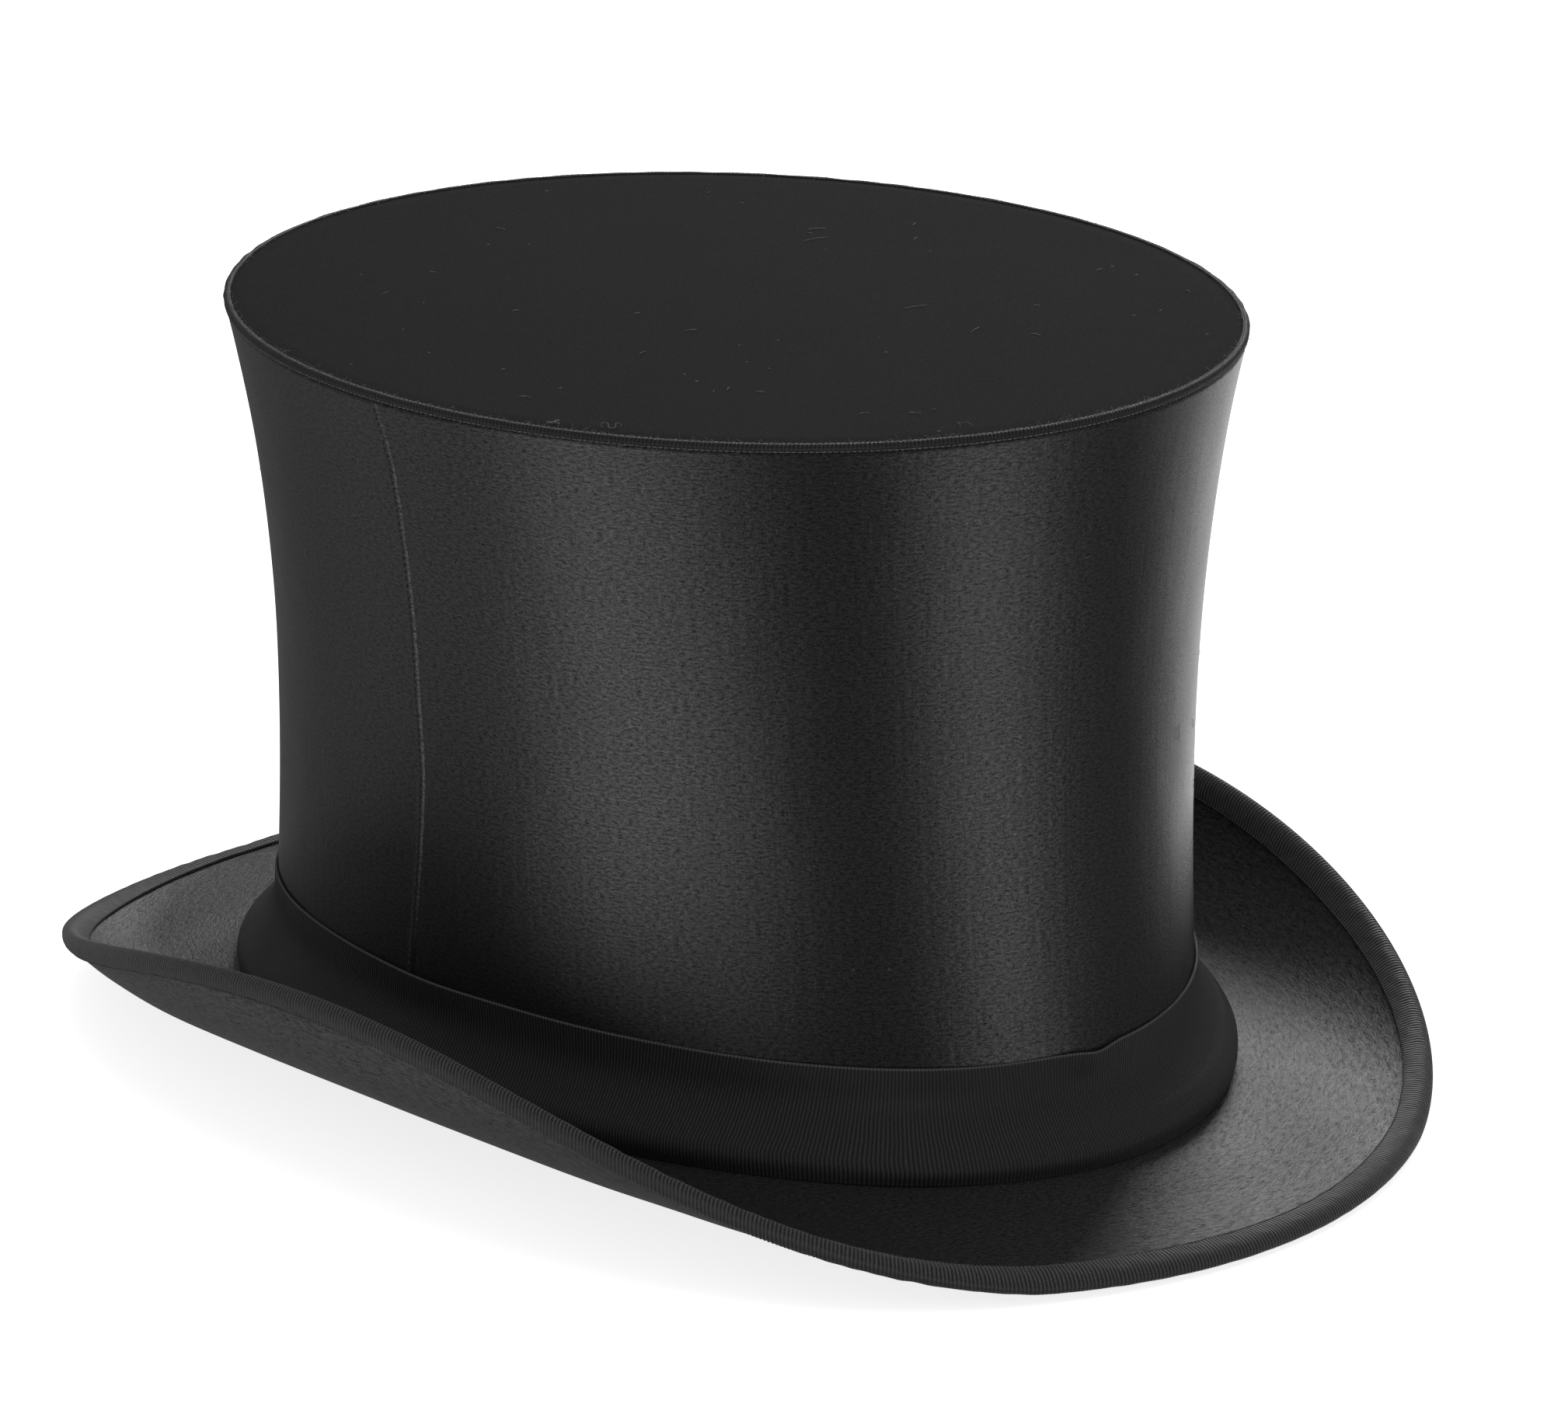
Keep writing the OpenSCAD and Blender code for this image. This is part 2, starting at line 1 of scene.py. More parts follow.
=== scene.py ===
"""Looks of the collapsible opera hat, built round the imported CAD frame. Lengths are in millimetres."""
import math

import bmesh
import bpy
import numpy as np
from mathutils import Matrix, Vector


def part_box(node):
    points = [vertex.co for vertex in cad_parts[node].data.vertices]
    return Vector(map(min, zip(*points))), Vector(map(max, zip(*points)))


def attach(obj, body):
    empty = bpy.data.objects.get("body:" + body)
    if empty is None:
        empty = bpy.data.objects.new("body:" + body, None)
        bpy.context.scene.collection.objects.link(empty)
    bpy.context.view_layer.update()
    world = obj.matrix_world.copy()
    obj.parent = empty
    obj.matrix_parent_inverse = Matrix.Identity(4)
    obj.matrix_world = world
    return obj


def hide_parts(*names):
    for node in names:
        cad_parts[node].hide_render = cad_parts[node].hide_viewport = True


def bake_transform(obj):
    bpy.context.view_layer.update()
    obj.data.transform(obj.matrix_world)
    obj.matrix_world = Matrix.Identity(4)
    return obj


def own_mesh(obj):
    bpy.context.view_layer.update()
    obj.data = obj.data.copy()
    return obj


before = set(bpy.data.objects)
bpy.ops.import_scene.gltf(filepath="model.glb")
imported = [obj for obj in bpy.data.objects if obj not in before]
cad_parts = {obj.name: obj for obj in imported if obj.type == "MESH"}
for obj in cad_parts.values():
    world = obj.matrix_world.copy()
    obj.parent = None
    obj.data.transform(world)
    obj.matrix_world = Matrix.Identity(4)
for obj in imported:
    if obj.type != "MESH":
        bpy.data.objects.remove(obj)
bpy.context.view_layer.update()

MM = 0.001

# ---- sizes shared with the CAD source ----
TIP_W, TIP_L, TIP_Z = (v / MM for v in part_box("tip_cord")[1])
CROWN_H, WAIST_IN = 149.0, 5.3
BASE_L, BASE_W = 107.4, 81.6
DATUM = TIP_Z - CROWN_H          # height of the crown's base above the floor
BRIM_W_FRONT, BRIM_W_BACK, BRIM_W_SIDE = 45.0, 42.6, 47.7
ROLL_START, ROLL_ANGLE, BRIM_DIP, SIDE_SLOPE = 34.0, 84.6, 7.2, -5.0
BOARD_E, COVER_E = 0.8, 0.95   # heights over the brim's middle surface
CLOTH_T, RIBBON_T = 0.35, 0.55
BAND_H, BAND_FLARE = 20.6, 7.6
PIVOT_L, PIVOT_W = 98.433, 74.118
LOWER_PIVOT_Z, LINK_L, OPEN_LEAN = DATUM + 19.5, 58.571, math.radians(6)
FOLD_Z = DATUM + 21.5            # the crown's satin folds between here and HOOP_Z
HOOP_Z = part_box("upper_hoop")[0].z / MM - 0.6    # the satin over this rides with the upper hoop
FRONT_ONSET, ROLL_POWER = 0.4, 1.2   # how late the brim starts to roll, going from the front to the side
SEAM_R, MEAN_R = 84, 92          # millimetres of crown wall per radian, at the seam and on average
TAU = 2 * math.pi


# ---- shapes: f is the angle round the hat in radians, 0 at the front ----
def smooth(a, b, x):
    t = np.clip((x - a) / (b - a), 0, 1)
    return t * t * (3 - 2 * t)


def bump(x, middle, width):
    return np.exp(-(((x - middle) / width) ** 2))


def oval(f, half_l, half_w, z):
    return np.stack(np.broadcast_arrays(half_w * np.sin(f), -half_l * np.cos(f), z), -1)


def out_dir(f, half_l=BASE_L, half_w=BASE_W):
    x, y = half_l * np.sin(f), -half_w * np.cos(f)
    size = np.hypot(x, y)
    return np.stack([x / size, y / size, 0 * x], -1)


def wall_half(z):
    t = np.clip((z - DATUM) / CROWN_H, 0, 1)
    waist = WAIST_IN * 4 * t * (1 - t) * (1 + 0.55 * (t - 0.5))
    return BASE_L + (TIP_L - BASE_L) * t - waist, BASE_W + (TIP_W - BASE_W) * t - waist


def wall(f, z, e=0.0):
    half_l, half_w = wall_half(z)
    f = f + 0 * z
    return oval(f, half_l, half_w, z) + out_dir(f, half_l, half_w) * (e + 0 * f)[..., None]


def root_z(f):
    return DATUM - 0.8 - 0.6 * np.cos(f) - 2.3 * np.cos(2 * f)


def brim_w(f):
    end = BRIM_W_FRONT + (BRIM_W_BACK - BRIM_W_FRONT) * smooth(-1, 1, -np.cos(f))
    return end + (BRIM_W_SIDE - end) * np.sin(f) ** 2


def brim_section(f, s, e):
    w = brim_w(f)
    p0 = np.radians(SIDE_SLOPE - (BRIM_DIP + SIDE_SLOPE) * np.cos(f) ** 2)
    onset = FRONT_ONSET * (1 - smooth(-1, 1, -np.cos(f)))
    share = np.maximum(np.abs(np.sin(f)) - onset, 0) / (1 - onset)
    turn = np.radians(0.5 + ROLL_ANGLE * share ** ROLL_POWER)
    flat_w = 1 + (ROLL_START - 1) * np.cos(f) ** 2
    r = (w - flat_w) / turn
    p = p0 + turn * np.clip((s - flat_w) / (w - flat_w), 0, 1)
    past, flat = np.maximum(s - w, 0), np.minimum(s, flat_w)
    return (flat * np.cos(p0) + r * (np.sin(p) - np.sin(p0)) + past * np.cos(p) - e * np.sin(p),
            flat * np.sin(p0) + r * (np.cos(p0) - np.cos(p)) + past * np.sin(p) + e * np.cos(p))


def brim(f, s, e):
    """Point at distance s from the crown along the brim and height e over its middle surface."""
    d, h = brim_section(f, s, e)
    f = f + 0 * d
    return oval(f, BASE_L, BASE_W, root_z(f) + h) + out_dir(f) * d[..., None]


_h = np.linspace(0, 30, 601)
_fall = smooth(2.6, 5.4, _h) * (1 - smooth(5.5, 17.5, _h))
_out = BAND_FLARE * (1 - np.cumsum(_fall) / _fall.sum())


def band_height(f):
    foot = root_z(f) + brim_section(f, BAND_FLARE + 0.7 + 0 * f, COVER_E + CLOTH_T + 0 * f)[1] + 0.12
    return foot, root_z(f) + COVER_E + CLOTH_T + BAND_H - foot


def band(f, h, e):
    """Point on the hat band at height h over the brim and distance e out from the ribbon's middle."""
    out = np.interp(h, _h, _out)
    slope = (np.interp(h + 0.05, _h, _out) - np.interp(h - 0.05, _h, _out)) / 0.1
    lean = 1 / np.sqrt(1 + slope ** 2)
    z = band_height(f)[0] + h
    p = wall(f, z)
    shift = 0.15 + RIBBON_T / 2 + out + e * lean
    p = p + out_dir(f + 0 * h) * shift[..., None]
    p[..., 2] += e * -slope * lean
    return p


def ripple(f, v, seed, turns=(2, 9), length=(25, 80), count=14):
    """Smooth random waves, whole numbers of them round the hat, of size about 1."""
    rng = np.random.default_rng(seed)
    total = 0
    for _ in range(count):
        k, q = rng.integers(*turns), rng.choice([-1, 1]) * TAU / rng.uniform(*length)
        total = total + np.sin(k * f + q * v + rng.uniform(0, TAU))
    return total / math.sqrt(count)


# ---- meshes ----
def link(name, mesh, outward=True):
    bm = bmesh.new()
    bm.from_mesh(mesh)
    bmesh.ops.remove_doubles(bm, verts=bm.verts, dist=1e-7)
    if outward:
        bmesh.ops.recalc_face_normals(bm, faces=bm.faces)
    bm.to_mesh(mesh)
    bm.free()
    mesh.polygons.foreach_set("use_smooth", np.ones(len(mesh.polygons), bool))
    obj = bpy.data.objects.new(name, mesh)
    bpy.context.scene.collection.objects.link(obj)
    return obj


def build(name, points, wrap=(True, True), column=0, pitch=None, shear=None):
    """Mesh over a grid of points: first index round the hat, second along the section. UVs are in mm."""
    n, m = points.shape[:2]
    i, j = np.meshgrid(np.arange(n if wrap[0] else n - 1), np.arange(m if wrap[1] else m - 1), indexing="ij")
    i, j = i.ravel(), j.ravel()
    i1, j1 = (i + 1) % n, (j + 1) % m
    faces = np.stack([i * m + j, i1 * m + j, i1 * m + j1, i * m + j1], 1)
    ring = points[np.arange(n + 1) % n, column]
    u = np.concatenate([[0], np.cumsum(np.linalg.norm(np.diff(ring, axis=0), axis=1))])
    if pitch:
        u *= max(1, round(u[-1] / pitch)) * pitch / u[-1]
    section = points[:, np.arange(m + 1) % m]
    v = np.concatenate([[0], np.cumsum(np.linalg.norm(np.diff(section, axis=1), axis=2).mean(0))])
    uu, vv = np.meshgrid(u, v, indexing="ij")
    if shear is not None:
        uu = uu + shear(vv)
    corners = [(i, j), (i + 1, j), (i + 1, j + 1), (i, j + 1)]
    uv = np.stack([np.stack([uu[a, b], vv[a, b]], 1) for a, b in corners], 1)
    mesh = bpy.data.meshes.new(name)
    mesh.from_pydata((points.reshape(-1, 3) * MM).tolist(), [], faces.tolist())
    mesh.uv_layers.new(name="cloth").data.foreach_set("uv", uv.astype(np.float32).ravel())
    return link(name, mesh)


def strands(name, paths, ups, radius, sides=6, taper=0.35):
    """Many short round strands in one mesh: paths (k, m, 3) are lines, ups (k, 3) point off the cloth."""
    k, m = paths.shape[:2]
    d = np.gradient(paths, axis=1)
    d /= np.linalg.norm(d, axis=2, keepdims=True)
    side = np.cross(d, ups[:, None])
    side /= np.linalg.norm(side, axis=2, keepdims=True)
    up = np.cross(side, d)
    t = np.linspace(-1, 1, m)
    size = radius * (taper + (1 - taper) * np.sqrt(np.clip(1 - t ** 4, 0, 1)))
    a = np.arange(sides) * TAU / sides
    loop = side[:, :, None] * np.cos(a)[:, None] + up[:, :, None] * np.sin(a)[:, None]
    verts = paths[:, :, None] + loop * size[None, :, None, None]
    faces = []
    for q in range(k):
        base = q * m * sides
        for r in range(m - 1):
            for c in range(sides):
                c1 = (c + 1) % sides
                faces.append((base + r * sides + c, base + r * sides + c1,
                              base + (r + 1) * sides + c1, base + (r + 1) * sides + c))
        faces.append(tuple(base + c for c in range(sides - 1, -1, -1)))
        faces.append(tuple(base + (m - 1) * sides + c for c in range(sides)))
    mesh = bpy.data.meshes.new(name)
    mesh.from_pydata((verts.reshape(-1, 3) * MM).tolist(), [], faces)
    return link(name, mesh, outward=False)


def stitch_run(path, over, pitch, share, radius, span=(0.0, TAU), rise=1.0):
    """Middle lines and up directions of even stitches along path(f). over(f) is a point above it."""
    f = np.linspace(*span, 6001)
    p = path(f)
    length = np.concatenate([[0], np.cumsum(np.linalg.norm(np.diff(p, axis=0), axis=1))])
    count = max(1, round(length[-1] / pitch))
    step = length[-1] / count
    t = np.array([0, 0.12, 0.35, 0.65, 0.88, 1]) * share
    at = np.interp((np.arange(count)[:, None] + t) * step, length, f)
    lines, up = path(at), over(at) - path(at)
    up /= np.linalg.norm(up, axis=-1, keepdims=True)
    lift = np.array([-1.0, 0.1, 0.55, 0.55, 0.1, -1.0]) * radius * rise
    return lines + up * lift[:, None], up[:, 2]


def merge_runs(*runs):
    return np.concatenate([r[0] for r in runs]), np.concatenate([r[1] for r in runs])


# ---- materials ----
class Mat:
    """A node material under construction. Sockets and numbers can be mixed freely."""

    def __init__(self, name):
        self.mat = bpy.data.materials.new(name)
        self.mat.use_nodes = True
        self.tree = self.mat.node_tree
        self.bsdf = self.tree.nodes["Principled BSDF"]

    def node(self, kind, inputs=(), out=0, **settings):
        n = self.tree.nodes.new("ShaderNode" + kind)
        for key, value in settings.items():
            setattr(n, key, value)
        for key, value in dict(inputs).items():
            self.put(n.inputs[key], value)
        return n.outputs[out]

    def put(self, socket, value):
        if isinstance(value, bpy.types.NodeSocket):
            self.tree.links.new(value, socket)
        elif socket.type == "RGBA" and not hasattr(value, "__len__"):
            socket.default_value = (value, value, value, 1)
        elif socket.type == "RGBA" and len(value) == 3:
            socket.default_value = (*value, 1)
        else:
            socket.default_value = value

    def set(self, **inputs):
        for key, value in inputs.items():
            self.put(self.bsdf.inputs[key.replace("_", " ")], value)
        return self

    def math(self, op, a, b=0.0, c=0.0, clamp=False):
        return self.node("Math", {0: a, 1: b, 2: c}, operation=op, use_clamp=clamp)

    def uv(self):
        return self.node("UVMap", uv_map="cloth")

    def place(self):
        metres = self.node("TexCoord", out=3)
        return self.node("VectorMath", {0: metres, 1: (1000, 1000, 1000)}, operation="MULTIPLY")

    def scaled(self, vector, scale, turn=0.0):
        return self.node("Mapping", {"Vector": vector, "Scale": scale, "Rotation": (0, 0, turn)})

    def noise(self, vector, scale=1.0, detail=2.0, rough=0.5):
        return self.node("TexNoise", {"Vector": vector, "Scale": scale, "Detail": detail, "Roughness": rough})

    def ramp(self, value, lo, hi, to_lo=0.0, to_hi=1.0):
        return self.node("MapRange", {0: value, 1: lo, 2: hi, 3: to_lo, 4: to_hi}, clamp=True)

    def mix(self, share, a, b):
        n = self.tree.nodes.new("ShaderNodeMix")
        n.data_type = "RGBA"
        self.put(n.inputs[0], share)
        self.put(n.inputs[6], a)
        self.put(n.inputs[7], b)
        return n.outputs[2]

    def bumps(self, *layers):
        """Stacks (height, distance in mm, strength) layers into the surface normal."""
        normal = None
        for height, distance, strength in layers:
            inputs = {"Height": height, "Distance": distance * MM, "Strength": strength}
            if normal is not None:
                inputs["Normal"] = normal
            normal = self.node("Bump", inputs)
        return self.set(Normal=normal)

    def specks(self, vector, spacing, size, share):
        """Mask of small round specks: one cell of spacing mm in the given share holds a speck."""
        cell = self.tree.nodes.new("ShaderNodeTexVoronoi")
        self.put(cell.inputs["Vector"], vector)
        self.put(cell.inputs["Scale"], 1 / spacing)
        picked = self.math("LESS_THAN", self.node("SeparateColor", {0: cell.outputs["Color"]}), share)
        near = self.ramp(cell.outputs["Distance"], size / spacing * 0.6, size / spacing, 1, 0)
        return self.math("MULTIPLY", picked, near)


def satin(name, base, base_hi, rough, grain, turn=0.0, sheen=0.0, relief=1.0, slack=0.25, streak=0.0):
    """Satin whose gloss varies with its weave: grain is the weave's scale along and across the thread."""
    m = Mat(name)
    uv = m.uv()
    weave = m.noise(m.scaled(uv, (grain[0], grain[1], 1), turn), 1.0, 2.5, 0.6)
    fine = m.noise(m.scaled(uv, (grain[0] * 2.7, grain[1] * 2.7, 1), turn + 0.2), 1.0, 1.0)
    cloud = m.noise(m.scaled(uv, (0.03, 0.03, 1)), 1.0, 3.0)
    coarse = m.noise(m.scaled(uv, (grain[0] * 0.4, grain[1] * 0.4, 1), turn), 1.0, 2.0)
    both = m.math("MULTIPLY_ADD", weave, 0.65, m.math("MULTIPLY", fine, 0.35))
    shine = m.math("MULTIPLY_ADD", coarse, 0.4, m.math("MULTIPLY", both, 0.6))
    colour = m.mix(m.ramp(both, 0.35, 0.68), base, base_hi)
    lint = m.specks(uv, 9, 0.35, 0.3)
    hairs = m.specks(m.scaled(uv, (0.16, 1.1, 1), 0.6), 9, 0.32, 0.12)
    dust = m.math("MAXIMUM", m.math("MULTIPLY", lint, 0.5), m.math("MULTIPLY", hairs, 0.3))
    colour = m.mix(dust, colour, (0.2, 0.2, 0.2))
    spread = m.math("MULTIPLY_ADD", cloud, 0.12, m.math("MULTIPLY_ADD", both, 0.22, rough - 0.17))
    m.set(Base_Color=colour, Roughness=spread, Sheen_Weight=sheen, Sheen_Roughness=0.4,
          Specular_IOR_Level=m.ramp(shine, 0.38, 0.62, 0.12, 1.15))
    lines = m.noise(m.scaled(uv, (0.45, 0.006, 1)), 1.0, 3.0, 0.6)
    return m.bumps((cloud, 1.2, slack), (lines, 0.6, streak), (coarse, 0.3, 0.16 * relief),
                   (both, 0.14, 0.6 * relief))


def grosgrain(name, pitch=0.72, base=0.013, base_hi=0.062, selvedge=None, rough=0.55, sheen=0.06):
    """Ribbed ribbon: ribs run along v, selvedge is the v distance up to which the lighter edge reaches."""
    m = Mat(name)
    uv = m.uv()
    split = m.tree.nodes.new("ShaderNodeSeparateXYZ")
    m.put(split.inputs[0], uv)
    u, v = split.outputs[0], split.outputs[1]
    wobble = m.math("MULTIPLY", m.noise(m.scaled(uv, (0.35, 0.12, 1)), 1.0, 2.0), 0.5)
    phase = m.math("MULTIPLY", m.math("ADD", u, wobble), TAU / pitch)
    rib = m.math("MULTIPLY_ADD", m.math("SINE", phase), 0.5, 0.5)
    thread = m.noise(m.scaled(uv, (1.4, 3.2, 1)), 1.0, 2.0)
    cloud = m.noise(m.scaled(uv, (0.05, 0.05, 1)), 1.0, 3.0)
    # Painted shade and highlight: the ribbon's colour is darker in the grooves between ribs and lighter on
    # the rib tops. The thread noise on it is the yarn's own uneven tone.
    tone = m.math("MULTIPLY", m.math("POWER", rib, 1.4), m.ramp(thread, 0.3, 0.75, 0.35, 1.0))
    colour = m.mix(tone, base, base_hi)
    if selvedge:
        edge = m.ramp(v, selvedge * 0.7, selvedge, 1, 0)
        worn = m.math("MULTIPLY", edge, m.ramp(rib, 0.1, 0.9, 0.35, 0.9))
        colour = m.mix(worn, colour, (0.13, 0.13, 0.125))
    lint = m.specks(uv, 8, 0.3, 0.25)
    colour = m.mix(m.math("MULTIPLY", lint, 0.35), colour, (0.16, 0.16, 0.16))
    m.set(Base_Color=colour, Roughness=m.math("MULTIPLY_ADD", cloud, 0.2, rough - 0.1),
          Specular_IOR_Level=0.4, Sheen_Weight=sheen, Sheen_Roughness=0.4)
    return m.bumps((cloud, 0.8, 0.25), (rib, 0.16, 0.8), (thread, 0.05, 0.5))


def make_materials():
    made = {}
    made["crown_satin"] = satin("crown_satin", 0.007, 0.024, 0.29, (2.1, 5.0), 0.0, 0.02, 1.2, 0.05, 0.12)
    made["brim_satin"] = satin("brim_satin", 0.004, 0.042, 0.42, (0.9, 2.8), 0.75, 0.02, 2.4, 0.2)
    # Painted light: the brim's underside satin is coloured much lighter than the same black satin on the top
    # and crown, standing in for bounce light from the floor.
    made["under_satin"] = satin("under_satin", 0.02, 0.12, 0.4, (0.7, 3.0), 1.45, 0.12, 2.2)
    made["grosgrain"] = grosgrain("grosgrain_band", selvedge=0.5)
    # The binding's light rib tops (base_hi 0.13) are a painted sheen from the top and back light.
    made["binding"] = grosgrain("grosgrain_binding", pitch=0.82, base=0.016, base_hi=0.13, sheen=0.3)
    made["bow"] = grosgrain("grosgrain_bow", selvedge=None)

    m = Mat("tip_cloth")
    at = m.place()
    nap = m.noise(m.scaled(at, (1.6, 2.6, 1), 0.4), 1.0, 4.0, 0.65)
    cloud = m.noise(m.scaled(at, (0.022, 0.03, 1)), 1.0, 3.0)
    lint = m.math("MAXIMUM", m.math("MULTIPLY", m.specks(at, 8, 0.42, 0.34), 0.5),
                  m.specks(m.scaled(at, (0.22, 1.2, 1), 0.9), 10, 0.36, 0.1))
    colour = m.mix(m.ramp(nap, 0.35, 0.7), 0.008, 0.022)
    colour = m.mix(m.ramp(cloud, 0.4, 0.7, 0, 0.4), colour, (0.014, 0.015, 0.0145))
    m.set(Base_Color=m.mix(lint, colour, (0.22, 0.22, 0.22)), Roughness=0.88, Specular_IOR_Level=0.08,
          Sheen_Weight=0.02, Sheen_Roughness=0.6)
    m.bumps((cloud, 1.0, 0.3), (nap, 0.2, 0.6))
    made["tip_cloth"] = m

    def thread(name, base, base_hi, scale=3.0):
        t = Mat(name)
        fibre = t.noise(t.scaled(t.place(), (scale, scale, scale)), 1.0, 2.0)
        t.set(Base_Color=t.mix(t.ramp(fibre, 0.3, 0.7), base, base_hi),
              Roughness=t.ramp(fibre, 0.2, 0.8, 0.5, 0.8))
        return t.bumps((fibre, 0.08, 0.6))

    made["pale_thread"] = thread("pale_thread", 0.1, 0.34)
    made["dark_thread"] = thread("dark_thread", 0.03, 0.1)
    made["selvedge_thread"] = thread("selvedge_thread", 0.04, 0.14)
    made["welt"] = grosgrain("welt_cord", pitch=0.8, base=0.012, base_hi=0.05)
    made["board"] = thread("buckram", (0.42, 0.35, 0.25), (0.58, 0.5, 0.38), 1.2)

    m = Mat("sweat_leather")
    at = m.place()
    pore = m.noise(m.scaled(at, (1.8, 1.8, 1.8)), 1.0, 3.0)
    stain = m.noise(m.scaled(at, (0.05, 0.05, 0.05)), 1.0, 3.0)
    colour = m.mix(m.ramp(stain, 0.35, 0.7), (0.16, 0.085, 0.042), (0.085, 0.042, 0.022))
    m.set(Base_Color=m.mix(m.ramp(pore, 0.3, 0.7, 0, 0.35), colour, (0.05, 0.026, 0.015)),
          Roughness=m.ramp(stain, 0.2, 0.8, 0.36, 0.56))
    made["sweat_leather"] = m.bumps((stain, 0.8, 0.3), (pore, 0.12, 0.5))

    m = satin("lining_satin", 0.022, 0.05, 0.4, (1.1, 2.4), 0.0, 0.1)
    made["lining"] = m

    def metal(name, base, rough, scale, wear=(0.3, 0.2, 0.14)):
        t = Mat(name)
        where = t.place()
        brush = t.noise(t.scaled(where, scale), 1.0, 2.0)
        spots = t.noise(t.scaled(where, (0.35, 0.35, 0.35)), 1.0, 4.0)
        t.set(Base_Color=t.mix(t.ramp(spots, 0.56, 0.8, 0, 0.6), base, wear), Metallic=1.0,
              Roughness=t.math("MULTIPLY_ADD", brush, 0.2, rough))
        return t.bumps((brush, 0.03, 0.35), (spots, 0.15, 0.15))

    made["spring_steel"] = metal("spring_steel", (0.42, 0.43, 0.46), 0.24, (0.4, 0.4, 6))
    made["bracket_steel"] = metal("bracket_steel", (0.36, 0.37, 0.39), 0.34, (3, 3, 3))
    made["brass"] = metal("brass", (0.5, 0.38, 0.17), 0.3, (5, 5, 5), (0.2, 0.13, 0.06))
    made["blued"] = metal("blued_steel", (0.1, 0.12, 0.18), 0.24, (4, 4, 4))
    return made


MATS = make_materials()


def dress(obj, look, body=None, *nodes):
    """Gives a piece its material and its body, and hides the CAD nodes it stands for."""
    obj.data.materials.clear()
    obj.data.materials.append(MATS[look].mat)
    if body:
        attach(obj, body)
    if nodes:
        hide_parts(*nodes)
    return obj


def angles(n):
    return (np.arange(n) * TAU / n)[:, None]


# ---- brim ----
def brim_sheet(name, e_show, e_back, look, nodes, seed, wave=0.09):
    """One covering of the brim: its shown side at e_show, its back at e_back."""
    f = angles(540)
    w = brim_w(f)
    a = np.linspace(0, 1, 44)
    s = 0.6 + (w - 0.6) * a
    e = e_show + wave * ripple(f, s, seed, (3, 15), (18, 60)) * smooth(0, 6, s) * smooth(0, 5, w - 7 - s)
    b = np.linspace(1, 0, 12)
    back = 0.6 + (w - 0.6) * b
    points = np.concatenate([brim(f, s, e), brim(f, back, e_back + 0 * back)], 1)
    return dress(build(name, points, column=22), look, "base", *nodes)


brim_sheet("brim_top_satin", COVER_E + CLOTH_T, COVER_E, "brim_satin", ["brim_cover_top"], 11)
brim_sheet("brim_under_satin", -COVER_E - CLOTH_T, -COVER_E, "under_satin", ["brim_cover_under"], 12, 0.14)
brim_sheet("brim_core", BOARD_E - 0.02, -BOARD_E, "board", ["brim_board"], 13, 0.0)

# Section of the binding, as distance past the brim's cut edge and height: a thick lip over both faces.
UPPER = np.array([[-3.6, 1.36], [-3.66, 1.55], [-3.6, 1.75], [-3.3, 1.9], [-2.9, 1.97], [-2.3, 2.02],
                  [-1.6, 2.05], [-0.9, 2.04], [-0.2, 2.0], [0.4, 1.9], [0.95, 1.72], [1.45, 1.46],
                  [1.9, 1.12], [2.25, 0.75], [2.47, 0.38], [2.55, 0]])
LOWER = np.array([[2.47, -0.38], [2.25, -0.75], [1.9, -1.14], [1.45, -1.5], [0.95, -1.78], [0.4, -1.97],
                  [-0.2, -2.06], [-0.9, -2.04], [-1.4, -1.92], [-1.62, -1.7], [-1.55, -1.42]])
INNER = np.array([[-0.6, -1.4], [0.6, -1.3], [1.6, 0], [0.6, 1.3], [-0.6, 1.4], [-2, 1.4], [-3.4, 1.38]])
SECTION = np.concatenate([UPPER, LOWER, INNER])


def binding():
    f = angles(900)
    w = brim_w(f)
    q, e = SECTION[:, 0], SECTION[:, 1]
    pucker = 1 + 0.03 * ripple(f, 4 * q, 21, (60, 200), (10, 40)) + 0.02 * ripple(f, q, 23, (4, 18), (10, 40))
    drift = 0.3 * ripple(f, 0 * q, 22, (2, 12)) * (q < -1.3)
    points = brim(f, w + q + drift, e * pucker)
    dress(build("brim_edge_binding", points, column=14, pitch=0.82), "binding", "base", "brim_binding")

    def line(lap, height, side):
        def path(f, lift=0.0):
            return brim(f, brim_w(f) - lap + 0.3 * ripple(f, 0, 22, (2, 12)), side * (height + lift) + 0 * f)
        return stitch_run(path, lambda f: path(f, 1.0), 0.82, 0.66, 0.17)

    paths, ups = merge_runs(line(3.5, 1.78, 1), line(1.5, 1.8, -1))
    dress(strands("binding_stitches", paths, ups, 0.17, 5), "selvedge_thread", "base")


binding()


def brim_wire():
    f = angles(360)
    a = np.linspace(0, TAU, 12, endpoint=False)
    points = brim(f, brim_w(f) + 0.65 + 0.6 * np.cos(a), 0.6 * np.sin(a) + 0 * f)
    dress(build("brim_edge_wire", points), "spring_steel", "base", "brim_wire")


brim_wire()


# ---- collar and band ----
def collar():
    f = angles(300)
    low, high = root_z(f) - COVER_E - CLOTH_T, DATUM + 20.5
    z = low + (high - low) * np.linspace(0, 1, 12)
    points = np.concatenate([wall(f, z, -0.75), wall(f, z[:, ::-1], -1.85)], 1)
    dress(build("crown_collar_buckram", points), "board", "base", "crown_collar")


collar()


